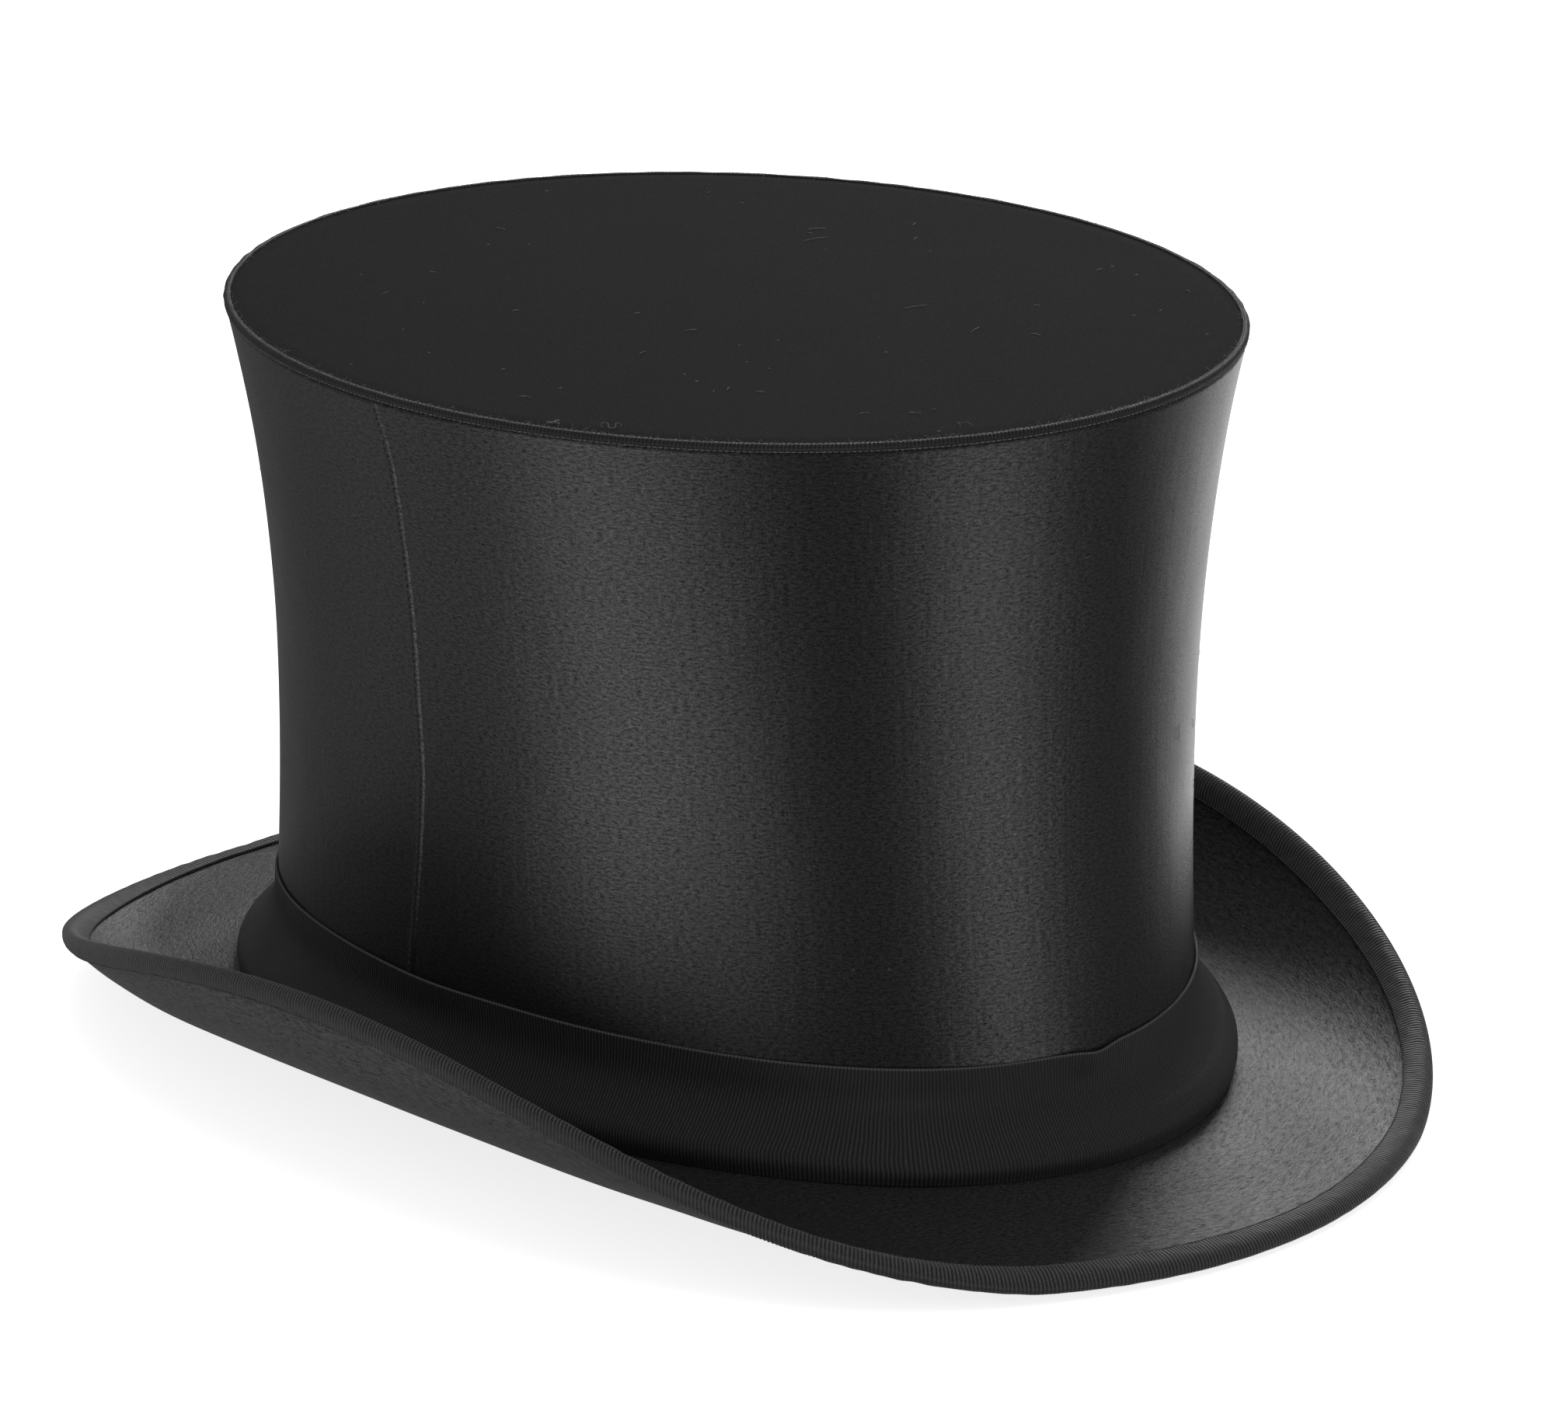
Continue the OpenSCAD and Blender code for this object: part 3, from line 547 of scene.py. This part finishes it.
def band_e(f, h, full):
    """Unevenness of the worn band: soft waves, a pucker near the front and a proud edge over the seam."""
    near_top = bump(full - h, 0, 4.5)
    pucker = 0.9 * bump(((f - math.radians(354)) + math.pi) % TAU - math.pi, 0, 0.06) * near_top
    proud = 0.75 * bump(f, math.radians(269), 0.13) * near_top
    waves = 0.13 * ripple(f, h, 31, (3, 16), (14, 40)) * smooth(0, 2, h)
    tuck = -0.45 * bump(h, 0, 1.4)
    crease = 0.22 * bump(h, 6.2 + 0.5 * ripple(f, 0 * h, 32, (2, 6)), 0.9)
    return waves + pucker + proud + tuck + crease


def hat_band():
    f = angles(900)
    full = band_height(f)[1]
    a = np.concatenate([[0, 0.004, 0.012, 0.03], np.linspace(0.055, 0.97, 44), [0.988, 1]])
    dip = 0.9 * bump(((f - math.radians(357)) + math.pi) % TAU - math.pi, 0, 0.05)
    h = full * (1 - a) - dip * bump(a, 0, 0.25)
    e = band_e(f, h, full)
    rounding = np.where(a < 0.003, 0.3, np.where(a < 0.01, 0.75, 1.0))
    edge = 0.5 * RIBBON_T * rounding + 0.05 * bump(a, 0.02, 0.012)
    back = np.linspace(1, 0, 16)
    hb = full * (1 - back) - dip * bump(back, 0, 0.25)
    points = np.concatenate([band(f, h, e + edge), band(f, hb, band_e(f, hb, full) - 0.5 * RIBBON_T)], 1)
    lean = (0.16 * ripple(np.append(f[:, 0], TAU), 0, 33, (2, 7)) + 0.1)[:, None]
    dress(build("hat_band_ribbon", points, column=0, pitch=0.72,
                shear=lambda v: lean * np.minimum(v, 19)), "grosgrain", "base", "hat_band")


hat_band()


def ribbon_pillow(name, f0, f1, h0, h1, e0, thick, look, nodes, seed):
    """One soft flat loop of ribbon lying on the band between two angles and two heights."""
    n, m = 44, 26
    t = np.linspace(0, 1, n)[:, None]
    a = np.linspace(0, TAU, m, endpoint=False)
    square = 0.32
    across = np.sign(np.cos(a)) * np.abs(np.cos(a)) ** square
    over = np.sign(np.sin(a)) * np.abs(np.sin(a)) ** square
    end = np.sqrt(np.clip(1 - (2 * t - 1) ** 16, 0, 1))
    waist = 1 - 0.16 * bump(t, 0 if f0 > math.pi / 2 else 1, 0.3)
    f = f0 + (f1 - f0) * t + 0 * a
    h = (h0 + h1) / 2 + (h1 - h0) / 2 * across * waist * (0.9 + 0.1 * end)
    puff = 1 + 0.12 * ripple(8 * t, 6 * across, seed, (1, 4), (6, 20))
    e = e0 + thick * (0.5 + 0.5 * over * end) * puff
    e = np.maximum(e, e0)
    obj = build(name, band(f, h, e + RIBBON_T / 2), wrap=(False, True), column=6)
    bm = bmesh.new()
    bm.from_mesh(obj.data)
    bmesh.ops.holes_fill(bm, edges=[g for g in bm.edges if g.is_boundary])
    bm.to_mesh(obj.data)
    bm.free()
    return dress(obj, look, "base", *nodes)


for name, a, b, seed in (("band_bow_front", 77.4, 89.6, 41), ("band_bow_back", 90.4, 102.6, 42)):
    ribbon_pillow(name, math.radians(a), math.radians(b), 7.6, 19.2, 0.1, 1.35, "bow", [], seed)
ribbon_pillow("band_bow_knot", math.radians(88.3), math.radians(91.7), 6.8, 19.7, 0.6, 1.7, "bow",
              ["band_bow"], 43)


# ---- crown ----
SEAM_T = np.array([0.0, 0.17, 0.335, 0.45, 0.56, 0.72, 0.9, 1.0])
SEAM_F = np.radians([264.3, 265.0, 267.0, 268.25, 268.5, 269.25, 269.75, 269.0])


def seam_f(z):
    return np.interp((z - DATUM) / CROWN_H, SEAM_T, SEAM_F)


def crown_e(f, z):
    """How far the satin stands off the ideal wall: slack waves, the seam's turned edge, a pulled-in top."""
    t = (z - DATUM) / CROWN_H
    fade = smooth(0, 0.12, t) * smooth(0, 0.1, 1 - t)
    waves = 0.07 * ripple(f, z, 51, (3, 12), (90, 240)) + 0.025 * ripple(f, z, 52, (12, 40), (24, 70), 20)
    d = (f - seam_f(z)) * SEAM_R
    seam = 0.2 * smooth(-1.6, -0.2, d) * (1 - smooth(0.1, 0.4, d)) - 0.1 * bump(d, 0.7, 0.4)
    return waves * fade + seam


def crown_wall():
    """The crown's satin, its seam and its hairs, in three pieces: foot and wall ride with the base, the top
    with the tip.
    """
    dense = np.arange(261, 273, 0.17)
    degrees = np.concatenate([np.arange(0, 261, 0.8), dense, np.arange(273, 360, 0.8)])
    f = np.radians(np.sort(degrees))[:, None]
    low, high = root_z(f) + COVER_E + CLOTH_T + 0.25, TIP_Z - 1.55
    foot = low + (FOLD_Z - low) * np.linspace(0, 1, 13)
    middle = FOLD_Z + (HOOP_Z - FOLD_Z) * np.arange(1, 78) / 77 + 0 * f
    head = HOOP_Z + (high - HOOP_Z) * np.arange(1, 7) / 6 + 0 * f
    z = np.concatenate([foot, middle, head], 1)
    shown, back = wall(f, z, crown_e(f, z)), wall(f, z[:, ::-1], crown_e(f, z[:, ::-1]) - 0.5)
    points = np.concatenate([shown, back], 1)
    parts = []
    for name, body, z0, z1 in (("foot", "base", 0, FOLD_Z), ("wall", "base", FOLD_Z, HOOP_Z),
                               ("top", "tip", HOOP_Z, TIP_Z)):
        part = build("crown_satin_" + name, points, column=50)
        bm = bmesh.new()
        bm.from_mesh(part.data)
        over = [g for g in bm.faces if not z0 < g.calc_center_median().z / MM < z1]
        bmesh.ops.delete(bm, geom=over, context="FACES")
        bm.to_mesh(part.data)
        bm.free()
        parts.append(dress(part, "crown_satin", body))
    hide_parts("crown_cover")

    def path(z, lift=0.0):
        f = seam_f(z) - 0.55 / SEAM_R
        return wall(f, z, crown_e(f, z) + 0.05 + lift)

    sewn = []
    for name, body, span in (("crown_seam_stitches", "base", (DATUM + 20, HOOP_Z)),
                             ("crown_seam_top_stitches", "tip", (HOOP_Z + 0.6, TIP_Z - 3))):
        paths, ups = stitch_run(path, lambda z: path(z, 1.0), 1.5, 0.6, 0.09, span)
        sewn.append(dress(strands(name, paths, ups, 0.09), "selvedge_thread", body))

    rng = np.random.default_rng(54)
    count = 46
    f, z = rng.uniform(0, TAU, count), rng.uniform(DATUM + 26, HOOP_Z - 4, count)
    turn, bend = rng.uniform(0, TAU, count), rng.normal(0, 1.6, count)
    size = rng.gamma(2.0, 0.8, count) + 0.5
    t = np.linspace(-0.5, 0.5, 8)
    way = turn[:, None] + bend[:, None] * t
    along = np.cumsum(np.cos(way), 1) * (size / 8)[:, None]
    rise = np.cumsum(np.sin(way), 1) * (size / 8)[:, None]
    f, z = f[:, None] + along / MEAN_R, z[:, None] + rise
    paths = wall(f, z, crown_e(f, z) + 0.07 + 0.12 * np.cos(np.pi * t) ** 2)
    hairs = dress(strands("crown_hairs", paths, out_dir(f[:, 0]), 0.045, 4), "pale_thread", "base")
    return parts[1], sewn[0], hairs


CROWN = crown_wall()


# ---- tip ----
def tip_cloth():
    f = angles(240)
    r = np.concatenate([np.linspace(0, 0.9, 34), np.linspace(0.92, 1, 12)])
    half_l, half_w = TIP_L - 1.35, TIP_W - 1.35
    x, y = half_w * r * np.sin(f), -half_l * r * np.cos(f)
    dents = 0.1 * np.sin(0.047 * x + 0.6) * np.cos(0.039 * y + 1.1) + 0.06 * np.sin(0.11 * x - 0.08 * y)
    z = TIP_Z - 0.12 - 0.3 * smooth(0.955, 1.0, r) + dents * (1 - r ** 6)
    top = np.stack([x, y, z], -1)
    rb = np.linspace(1, 0, 10)
    under = oval(f, half_l * rb, half_w * rb, TIP_Z - 0.7 + 0 * rb)
    dress(build("tip_wool_cloth", np.concatenate([top, under], 1)), "tip_cloth", "tip", "tip_cover")


tip_cloth()


def around_tip(f, angle, r, lift=0.0):
    """Point on the welt round the tip at an angle about its middle, 0 pointing outwards and 90 degrees up."""
    inset = 0.85 - (r + lift) * math.cos(angle)
    return oval(f, TIP_L - inset, TIP_W - inset, TIP_Z - 0.85 + (r + lift) * math.sin(angle) + 0 * f)


def welt():
    f = angles(720)
    a = np.linspace(0, TAU, 14, endpoint=False)
    rad = 0.8 + 0.05 * ripple(f, 0 * a, 61, (20, 90))
    half = -0.85 + rad * np.cos(a)
    points = oval(f, TIP_L + half, TIP_W + half, TIP_Z - 0.85 + rad * np.sin(a))
    dress(build("tip_welt", points, pitch=0.8), "welt", "tip", "tip_cord")
    runs = []
    for angle in (math.radians(122), math.radians(-48)):
        runs.append(stitch_run(lambda f: around_tip(f, angle, 0.83),
                               lambda f: around_tip(f, angle, 0.83, 1.0), 1.15, 0.86, 0.13, rise=0.6))
    paths, ups = merge_runs(*runs)
    dress(strands("tip_welt_stitches", paths, ups, 0.13), "pale_thread", "tip")

    rng = np.random.default_rng(62)
    count = 1500
    f = rng.uniform(0, TAU, count)
    angle = np.where(rng.random(count) < 0.65, rng.normal(2.1, 0.25, count), rng.normal(-0.85, 0.3, count))
    root = np.stack([around_tip(a, b, 0.8) for a, b in zip(f, angle)])
    up = np.stack([around_tip(a, b, 0.8, 1.0) for a, b in zip(f, angle)]) - root
    side = np.cross(up, rng.normal(0, 1, (count, 3)))
    size = rng.gamma(2.2, 0.28, count)[:, None]
    t = np.linspace(0, 1, 5)[None, :, None]
    paths = root[:, None] + size[:, None] * (up[:, None] * t * 0.8 + side[:, None] * t ** 2 * 0.8)
    dress(strands("tip_welt_fuzz", paths, up + 0.01, 0.035, 3, 0.3), "pale_thread", "tip")

    count = 34
    a, r = rng.uniform(0, TAU, count), np.sqrt(rng.uniform(0.02, 0.9, count))
    mid = np.stack([(TIP_W - 4) * r * np.sin(a), -(TIP_L - 4) * r * np.cos(a), TIP_Z + 0.02 + 0 * a], 1)
    turn, bend = rng.uniform(0, TAU, count), rng.normal(0, 0.9, count)
    size = rng.gamma(2.0, 0.9, count) + 0.4
    t = np.linspace(-0.5, 0.5, 7)
    way = turn[:, None] + bend[:, None] * t
    step = np.stack([np.cos(way), np.sin(way), 0 * way], -1) * (size / 6)[:, None, None]
    paths = mid[:, None] + np.cumsum(step, 1)
    paths[..., 2] += 0.1 * np.sin(np.pi * (t + 0.5))
    dress(strands("tip_lint", paths, np.tile([0.0, 0.0, 1.0], (count, 1)), 0.06, 4), "pale_thread", "tip")

    t = np.linspace(0, 1, 60)
    loose = []
    for f0, share, length, turns, wild in ((292, 0.965, 15, 2.2, 1.0), (297, 0.955, 10, 1.4, 0.8),
                                           (338, 0.94, 6, 0.8, 0.5)):
        way = math.radians(f0) + wild * 2.6 * np.sin(TAU * turns * t + 1.3) + 0.8 * np.sin(TAU * 0.7 * t)
        a = math.radians(f0)
        x = TIP_W * share * math.sin(a) + np.cumsum(np.cos(way)) * length / 60
        y = -TIP_L * share * math.cos(a) + np.cumsum(np.sin(way)) * length / 60
        loose.append(np.stack([x, y, TIP_Z + 0.15 + 0.35 * np.sin(np.pi * t) * (1 + np.sin(9 * t))], 1))
    ups = np.tile([0.0, 0.0, 1.0], (3, 1))
    dress(strands("tip_loose_threads", np.array(loose), ups, 0.05, 5), "pale_thread", "tip")


welt()


def tip_lining():
    lo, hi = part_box("tip_lining")
    half_w, half_l, top = hi.x / MM, hi.y / MM, hi.z / MM
    f = angles(480)
    r = np.linspace(0.02, 1, 30)
    pleat = 0.22 * smooth(0.35, 1.0, r) * (0.5 + 0.5 * np.sin(72 * f + 2.5 * np.sin(3 * f)))
    low = oval(f, half_l * r, half_w * r, lo.z / MM - 0.15 * (1 - r ** 2) - pleat)
    up = oval(f, half_l * r[::-1], half_w * r[::-1], top + 0 * f * r)
    dress(build("tip_lining_satin", np.concatenate([low, up], 1)), "lining", "tip", "tip_lining")


tip_lining()


# ---- inside ----
def sweatband():
    lo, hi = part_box("sweatband")
    half_w, half_l, top = hi.x / MM, hi.y / MM, hi.z / MM
    f = angles(480)
    low = root_z(f) - COVER_E - CLOTH_T - 0.6
    a = np.linspace(0, 1, 26)
    z = low + (top - low) * a
    belly = -0.35 * np.sin(math.pi * a) - 0.25 * (1 + ripple(f, z, 71, (3, 12), (20, 60))) * smooth(0.2, 1, a)
    inner = -0.9 + belly + 0.2 * bump(a, 0.93, 0.02)
    outer = -0.05 + belly + 0 * z
    points = np.concatenate([oval(f, half_l + inner, half_w + inner, z),
                             oval(f, half_l + outer[:, ::-1], half_w + outer[:, ::-1], z[:, ::-1])], 1)
    dress(build("sweatband_leather", points), "sweat_leather", "base", "sweatband")

    def line(share):
        def path(f, lift=0.0):
            low = root_z(f) - COVER_E - CLOTH_T - 0.6
            z = low + (top - low) * share
            waves = 0.25 * (1 + ripple(f, z, 71, (3, 12), (20, 60))) * smooth(0.2, 1, share)
            inset = -0.95 - 0.35 * math.sin(math.pi * share) - waves - lift
            return oval(f, half_l + inset, half_w + inset, z)
        return stitch_run(path, lambda f: path(f, 1.0), 2.6, 0.7, 0.17)

    paths, ups = merge_runs(line(0.93), line(0.1))
    dress(strands("sweatband_stitches", paths, ups, 0.17), "dark_thread", "base")

    lo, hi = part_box("sweatband_reed")
    a = np.linspace(0, TAU, 12, endpoint=False)
    inset = -0.8 + 0.8 * np.cos(a)
    z = root_z(f) - COVER_E - CLOTH_T + 1 + 0.8 * np.sin(a)
    points = oval(f, hi.y / MM + inset, hi.x / MM + inset, z)
    dress(build("sweatband_reed_cord", points), "sweat_leather", "base", "sweatband_reed")


sweatband()


def small_bow():
    """Ribbon bow sewn inside the sweatband at the back: two open loops, two tails and a knot."""
    lo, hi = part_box("sweatband_bow")
    mid = Vector(((lo.x + hi.x) / 2, hi.y - 0.0004, (lo.z + hi.z) / 2)) / MM
    half = (hi.x - lo.x) / 2 / MM
    parts = []
    for side in (-1, 1):
        a = np.linspace(0, TAU, 40)[:, None]
        loop = np.concatenate([side * (half * 0.5 - half * 0.5 * np.cos(a)), -0.35 - 0.55 * np.sin(a),
                               -0.5 * (1 - np.cos(a))], 1)
        tail_t = np.linspace(0, 1, 14)[:, None]
        tail = np.concatenate([side * (0.8 + 3.4 * tail_t), -0.25 - 0.5 * np.sin(3 * tail_t),
                               -4.2 * tail_t], 1)
        for line, wide in ((loop, 2.1), (tail, 1.3)):
            v = np.linspace(-1, 1, 7)
            shrink = 0.55 + 0.45 * smooth(0, 3.5, np.abs(line[:, :1]))
            across = np.stack([0 * v, 0.12 * (v ** 2), wide * v], -1)
            parts.append((line[:, None] + across * shrink[:, None], (False, False)))
    a = np.linspace(0, TAU, 24, endpoint=False)[:, None]
    knot = np.concatenate([1.35 * np.cos(a), -0.55 + 0.6 * np.sin(a), 0 * a], 1)
    v = np.linspace(-1, 1, 9)
    knot = knot[:, None] * (1 - 0.25 * v[:, None] ** 4) + np.stack([0 * v, 0 * v, 1.9 * v], -1)
    parts.append((knot, (True, False)))
    pieces = [build(f"sweatband_ribbon_bow_{k}", p + np.array(mid), wrap=w) for k, (p, w) in enumerate(parts)]
    for obj in pieces:
        sheet = obj.modifiers.new("thickness", "SOLIDIFY")
        sheet.thickness, sheet.offset = 0.0003, 0
    bpy.ops.object.select_all(action="DESELECT")
    for obj in pieces:
        obj.select_set(True)
    bpy.context.view_layer.objects.active = pieces[0]
    bpy.ops.object.convert(target="MESH")
    bpy.ops.object.join()
    bow = pieces[0]
    bow.name = "sweatband_ribbon_bow"
    dress(bow, "bow", "base", "sweatband_bow")


small_bow()


def lining_limit(z):
    """Largest half sizes of the lining at height z: it has to stay inside the folding arms."""
    z0, z1 = DATUM + 16.4, TIP_Z - 3.6
    t = np.clip((z - z0) / (z1 - z0), 0, 1)
    pull = 4 * t * (1 - t) * (LINK_L * math.sin(OPEN_LEAN) + 0.2)
    return PIVOT_L - 3.8 - pull, PIVOT_W - 3.8 - pull


def lining():
    """Gathered lining, hung between the sweatband and the tip and let settle by the cloth solver."""
    f = angles(300)
    z0, z1 = DATUM + 16.4, TIP_Z - 3.8
    a = np.linspace(0, 1, 54)
    z = z0 + (z1 - z0) * a
    half_l, half_w = lining_limit(z)
    rng = np.random.default_rng(81)
    folds = 0.5 + 0.5 * np.sin(52 * f + 3 * np.sin(2 * f + 1) + 1.2 * np.sin(5 * f))
    uneven = 0.7 + 0.3 * ripple(f, z, 82, (3, 11), (60, 160))
    size = 0.5 + 1.9 * np.sin(math.pi * np.clip(a, 0, 1)) ** 0.6 * uneven
    inset = 0.15 + folds * size + 0.05 * rng.random((300, 54))
    points = oval(f, half_l - inset, half_w - inset, z)
    obj = build("crown_lining_satin", points, wrap=(True, False), column=27)
    held = obj.vertex_groups.new(name="held")
    co = np.array([v.co.z for v in obj.data.vertices])
    ends = np.where((co < (z0 + 1.5) * MM) | (co > (z1 - 1.5) * MM))[0]
    held.add(ends.tolist(), 1.0, "REPLACE")
    cloth = obj.modifiers.new("settle", "CLOTH")
    cloth.settings.quality = 6
    cloth.settings.mass = 0.12
    cloth.settings.tension_stiffness = cloth.settings.compression_stiffness = 8
    cloth.settings.shear_stiffness = 3
    cloth.settings.bending_stiffness = 0.05
    cloth.settings.shrink_min = -0.035
    cloth.settings.vertex_group_mass = "held"
    cloth.collision_settings.use_collision = False
    cloth.point_cache.frame_start, cloth.point_cache.frame_end = 1, 26
    for step in range(1, 27):
        bpy.context.scene.frame_set(step)
    settled = bpy.data.meshes.new_from_object(obj.evaluated_get(bpy.context.evaluated_depsgraph_get()))
    obj.modifiers.clear()
    obj.data = settled
    bpy.context.scene.frame_set(1)
    co = np.array([v.co for v in settled.vertices]) / MM
    co[:, 2] = np.clip(co[:, 2], z0, z1)
    half_l, half_w = lining_limit(co[:, 2])
    reach = np.hypot(co[:, 0] / (half_w - 0.1), co[:, 1] / (half_l - 0.1))
    co[:, :2] /= np.maximum(reach, 1)[:, None]
    settled.vertices.foreach_set("co", (co * MM).astype(np.float32).ravel())
    settled.update()
    return dress(obj, "lining", "base", "crown_lining")


LINING = lining()


def elbow_spring(name, turn, pivot):
    """Torsion spring round an elbow pin, one leg along each half arm."""
    lean, radius, pitch, turns, leg = OPEN_LEAN, 2.05, 1.15, 3, 9
    sweep = turns * TAU + math.pi + 2 * lean
    t = np.linspace(0, 1, 90)
    q = math.pi / 2 - lean - t * sweep
    coil = np.stack([(t - 0.5) * turns * pitch, radius * np.sin(q + lean), radius * np.cos(q + lean)], 1)
    s = np.linspace(1, 0.05, 12)[:, None]
    first = coil[0] + s * np.array([0, -0.7, -leg])
    side, along = math.sin(2 * lean), math.cos(2 * lean)
    last = coil[-1] + s[::-1] * np.array([0, -0.7 * along - leg * side, leg * along])
    line = np.concatenate([first, coil, last])
    place = (Matrix.Rotation(turn, 4, "Z") @ Matrix.Translation((0, -pivot, LOWER_PIVOT_Z))
             @ Matrix.Rotation(-lean, 4, "X") @ Matrix.Translation((0, 0, LINK_L)))
    line = np.array([place @ Vector(p) for p in line])
    side = np.array(place.to_3x3() @ Vector((0.03, 0.3, 0.95)))
    obj = strands(name + "_elbow_wire", line[None], side[None], 0.4, 10, 0.8)
    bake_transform(obj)
    dress(obj, "blued", None, name + "_elbow_spring")


for name, turn, pivot in (("front", 0, PIVOT_L), ("left", 90, PIVOT_W), ("back", 180, PIVOT_L),
                          ("right", 270, PIVOT_W)):
    elbow_spring(name, math.radians(turn), pivot)

# ---- carried-over CAD nodes ----
LOOKS = {"hoop": "spring_steel", "bracket": "bracket_steel", "rivets": "brass", "pins": "brass",
         "pin": "brass", "link": "spring_steel", "board": "board"}
for name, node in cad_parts.items():
    if not node.hide_render:
        look = next((v for k, v in LOOKS.items() if k in name), "bracket_steel")
        node.data.materials.clear()
        node.data.materials.append(MATS[look].mat)

for obj in CROWN:
    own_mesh(obj)
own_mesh(LINING)


# ---- stage, light and camera ----
def stage():
    mesh = bpy.data.meshes.new("floor")
    half, level = 8, -0.0004
    corners = [(-half, -half, level), (half, -half, level), (half, half, level), (-half, half, level)]
    mesh.from_pydata(corners, [], [(0, 1, 2, 3)])
    floor = bpy.data.objects.new("floor", mesh)
    bpy.context.scene.collection.objects.link(floor)
    m = Mat("pale_floor")
    seen = m.node("LightPath", out=0)
    m.set(Base_Color=m.mix(seen, 0.3, 0.92), Roughness=0.9, Specular_IOR_Level=0.1,
          Emission_Color=1.0, Emission_Strength=m.math("MULTIPLY", seen, 0.8))
    mesh.materials.append(m.mat)
    floor.visible_glossy = False
    floor.visible_shadow = False

    world = bpy.data.worlds.new("studio")
    bpy.context.scene.world = world
    world.use_nodes = True
    tree = world.node_tree
    path = tree.nodes.new("ShaderNodeLightPath")
    previous = (0.36, 0.36, 0.37, 1)
    for ray, tone in ((3, (0.16, 0.16, 0.165, 1)), (0, (1, 1, 1, 1))):
        mix = tree.nodes.new("ShaderNodeMix")
        mix.data_type = "RGBA"
        if isinstance(previous, tuple):
            mix.inputs[6].default_value = previous
        else:
            tree.links.new(previous, mix.inputs[6])
        mix.inputs[7].default_value = tone
        tree.links.new(path.outputs[ray], mix.inputs[0])
        previous = mix.outputs[2]
    tree.links.new(previous, tree.nodes["Background"].inputs["Color"])


def softbox(name, azimuth, distance, height, size, power, aim=(0, 0, 0.08), diffuse=True, glossy=True):
    """Rectangular light at an azimuth round the hat, 0 in front of it, facing aim."""
    data = bpy.data.lights.new(name, "AREA")
    data.shape, data.size, data.size_y, data.energy = "RECTANGLE", size[0], size[1], power
    lamp = bpy.data.objects.new(name, data)
    a = math.radians(azimuth)
    lamp.location = (math.sin(a) * distance, -math.cos(a) * distance, height)
    lamp.rotation_mode = "QUATERNION"
    lamp.rotation_quaternion = (Vector(aim) - lamp.location).to_track_quat("-Z", "Y")
    lamp.visible_camera = False
    lamp.visible_diffuse, lamp.visible_glossy = diffuse, glossy
    bpy.context.scene.collection.objects.link(lamp)


def camera():
    """Long lens from the hat's front right, a little above the brim."""
    az, el, roll = math.radians(-45.69), math.radians(18.64), math.radians(0.32)
    target, distance = Vector((0, 0, DATUM + 61.2)) * MM, 1.5237
    back = Vector((math.sin(az) * math.cos(el), -math.cos(az) * math.cos(el), math.sin(el)))
    right = Vector((math.cos(az), math.sin(az), 0))
    up = back.cross(right)
    right, up = (math.cos(roll) * right + math.sin(roll) * up, -math.sin(roll) * right + math.cos(roll) * up)
    data = bpy.data.cameras.new("camera")
    data.sensor_width, data.lens = 36, 170.35
    data.shift_x, data.shift_y = 0.0337, 0.0029
    cam = bpy.data.objects.new("camera", data)
    turned = Matrix((right, up, back)).transposed().to_4x4()
    cam.matrix_world = Matrix.Translation(target + back * distance) @ turned
    bpy.context.scene.collection.objects.link(cam)
    bpy.context.scene.camera = cam


stage()
strip = {"aim": (0, 0, -0.55), "diffuse": False}
softbox("strip_right_side", -92, 1.2, -0.55, (0.34, 1.4), 3.6, **strip)
softbox("strip_right_front", -69, 1.2, -0.55, (0.3, 1.4), 2.0, **strip)
softbox("strip_front", 4, 1.2, -0.55, (0.37, 1.4), 3.6, **strip)
softbox("strip_rim", 109, 1.2, -0.6, (0.9, 1.1), 3.6, aim=(0, 0, -0.6), diffuse=False)
softbox("strip_back_right", -140, 1.2, -0.9, (1.3, 0.8), 1.2, aim=(0, 0, -0.9), diffuse=False)
softbox("softbox_back", 124, 1.3, 0.72, (0.55, 0.5), 5)
softbox("softbox_top", 20, 0.3, 1.6, (1.3, 1.3), 6, glossy=False)
camera()
bpy.context.scene.view_settings.view_transform = "Standard"
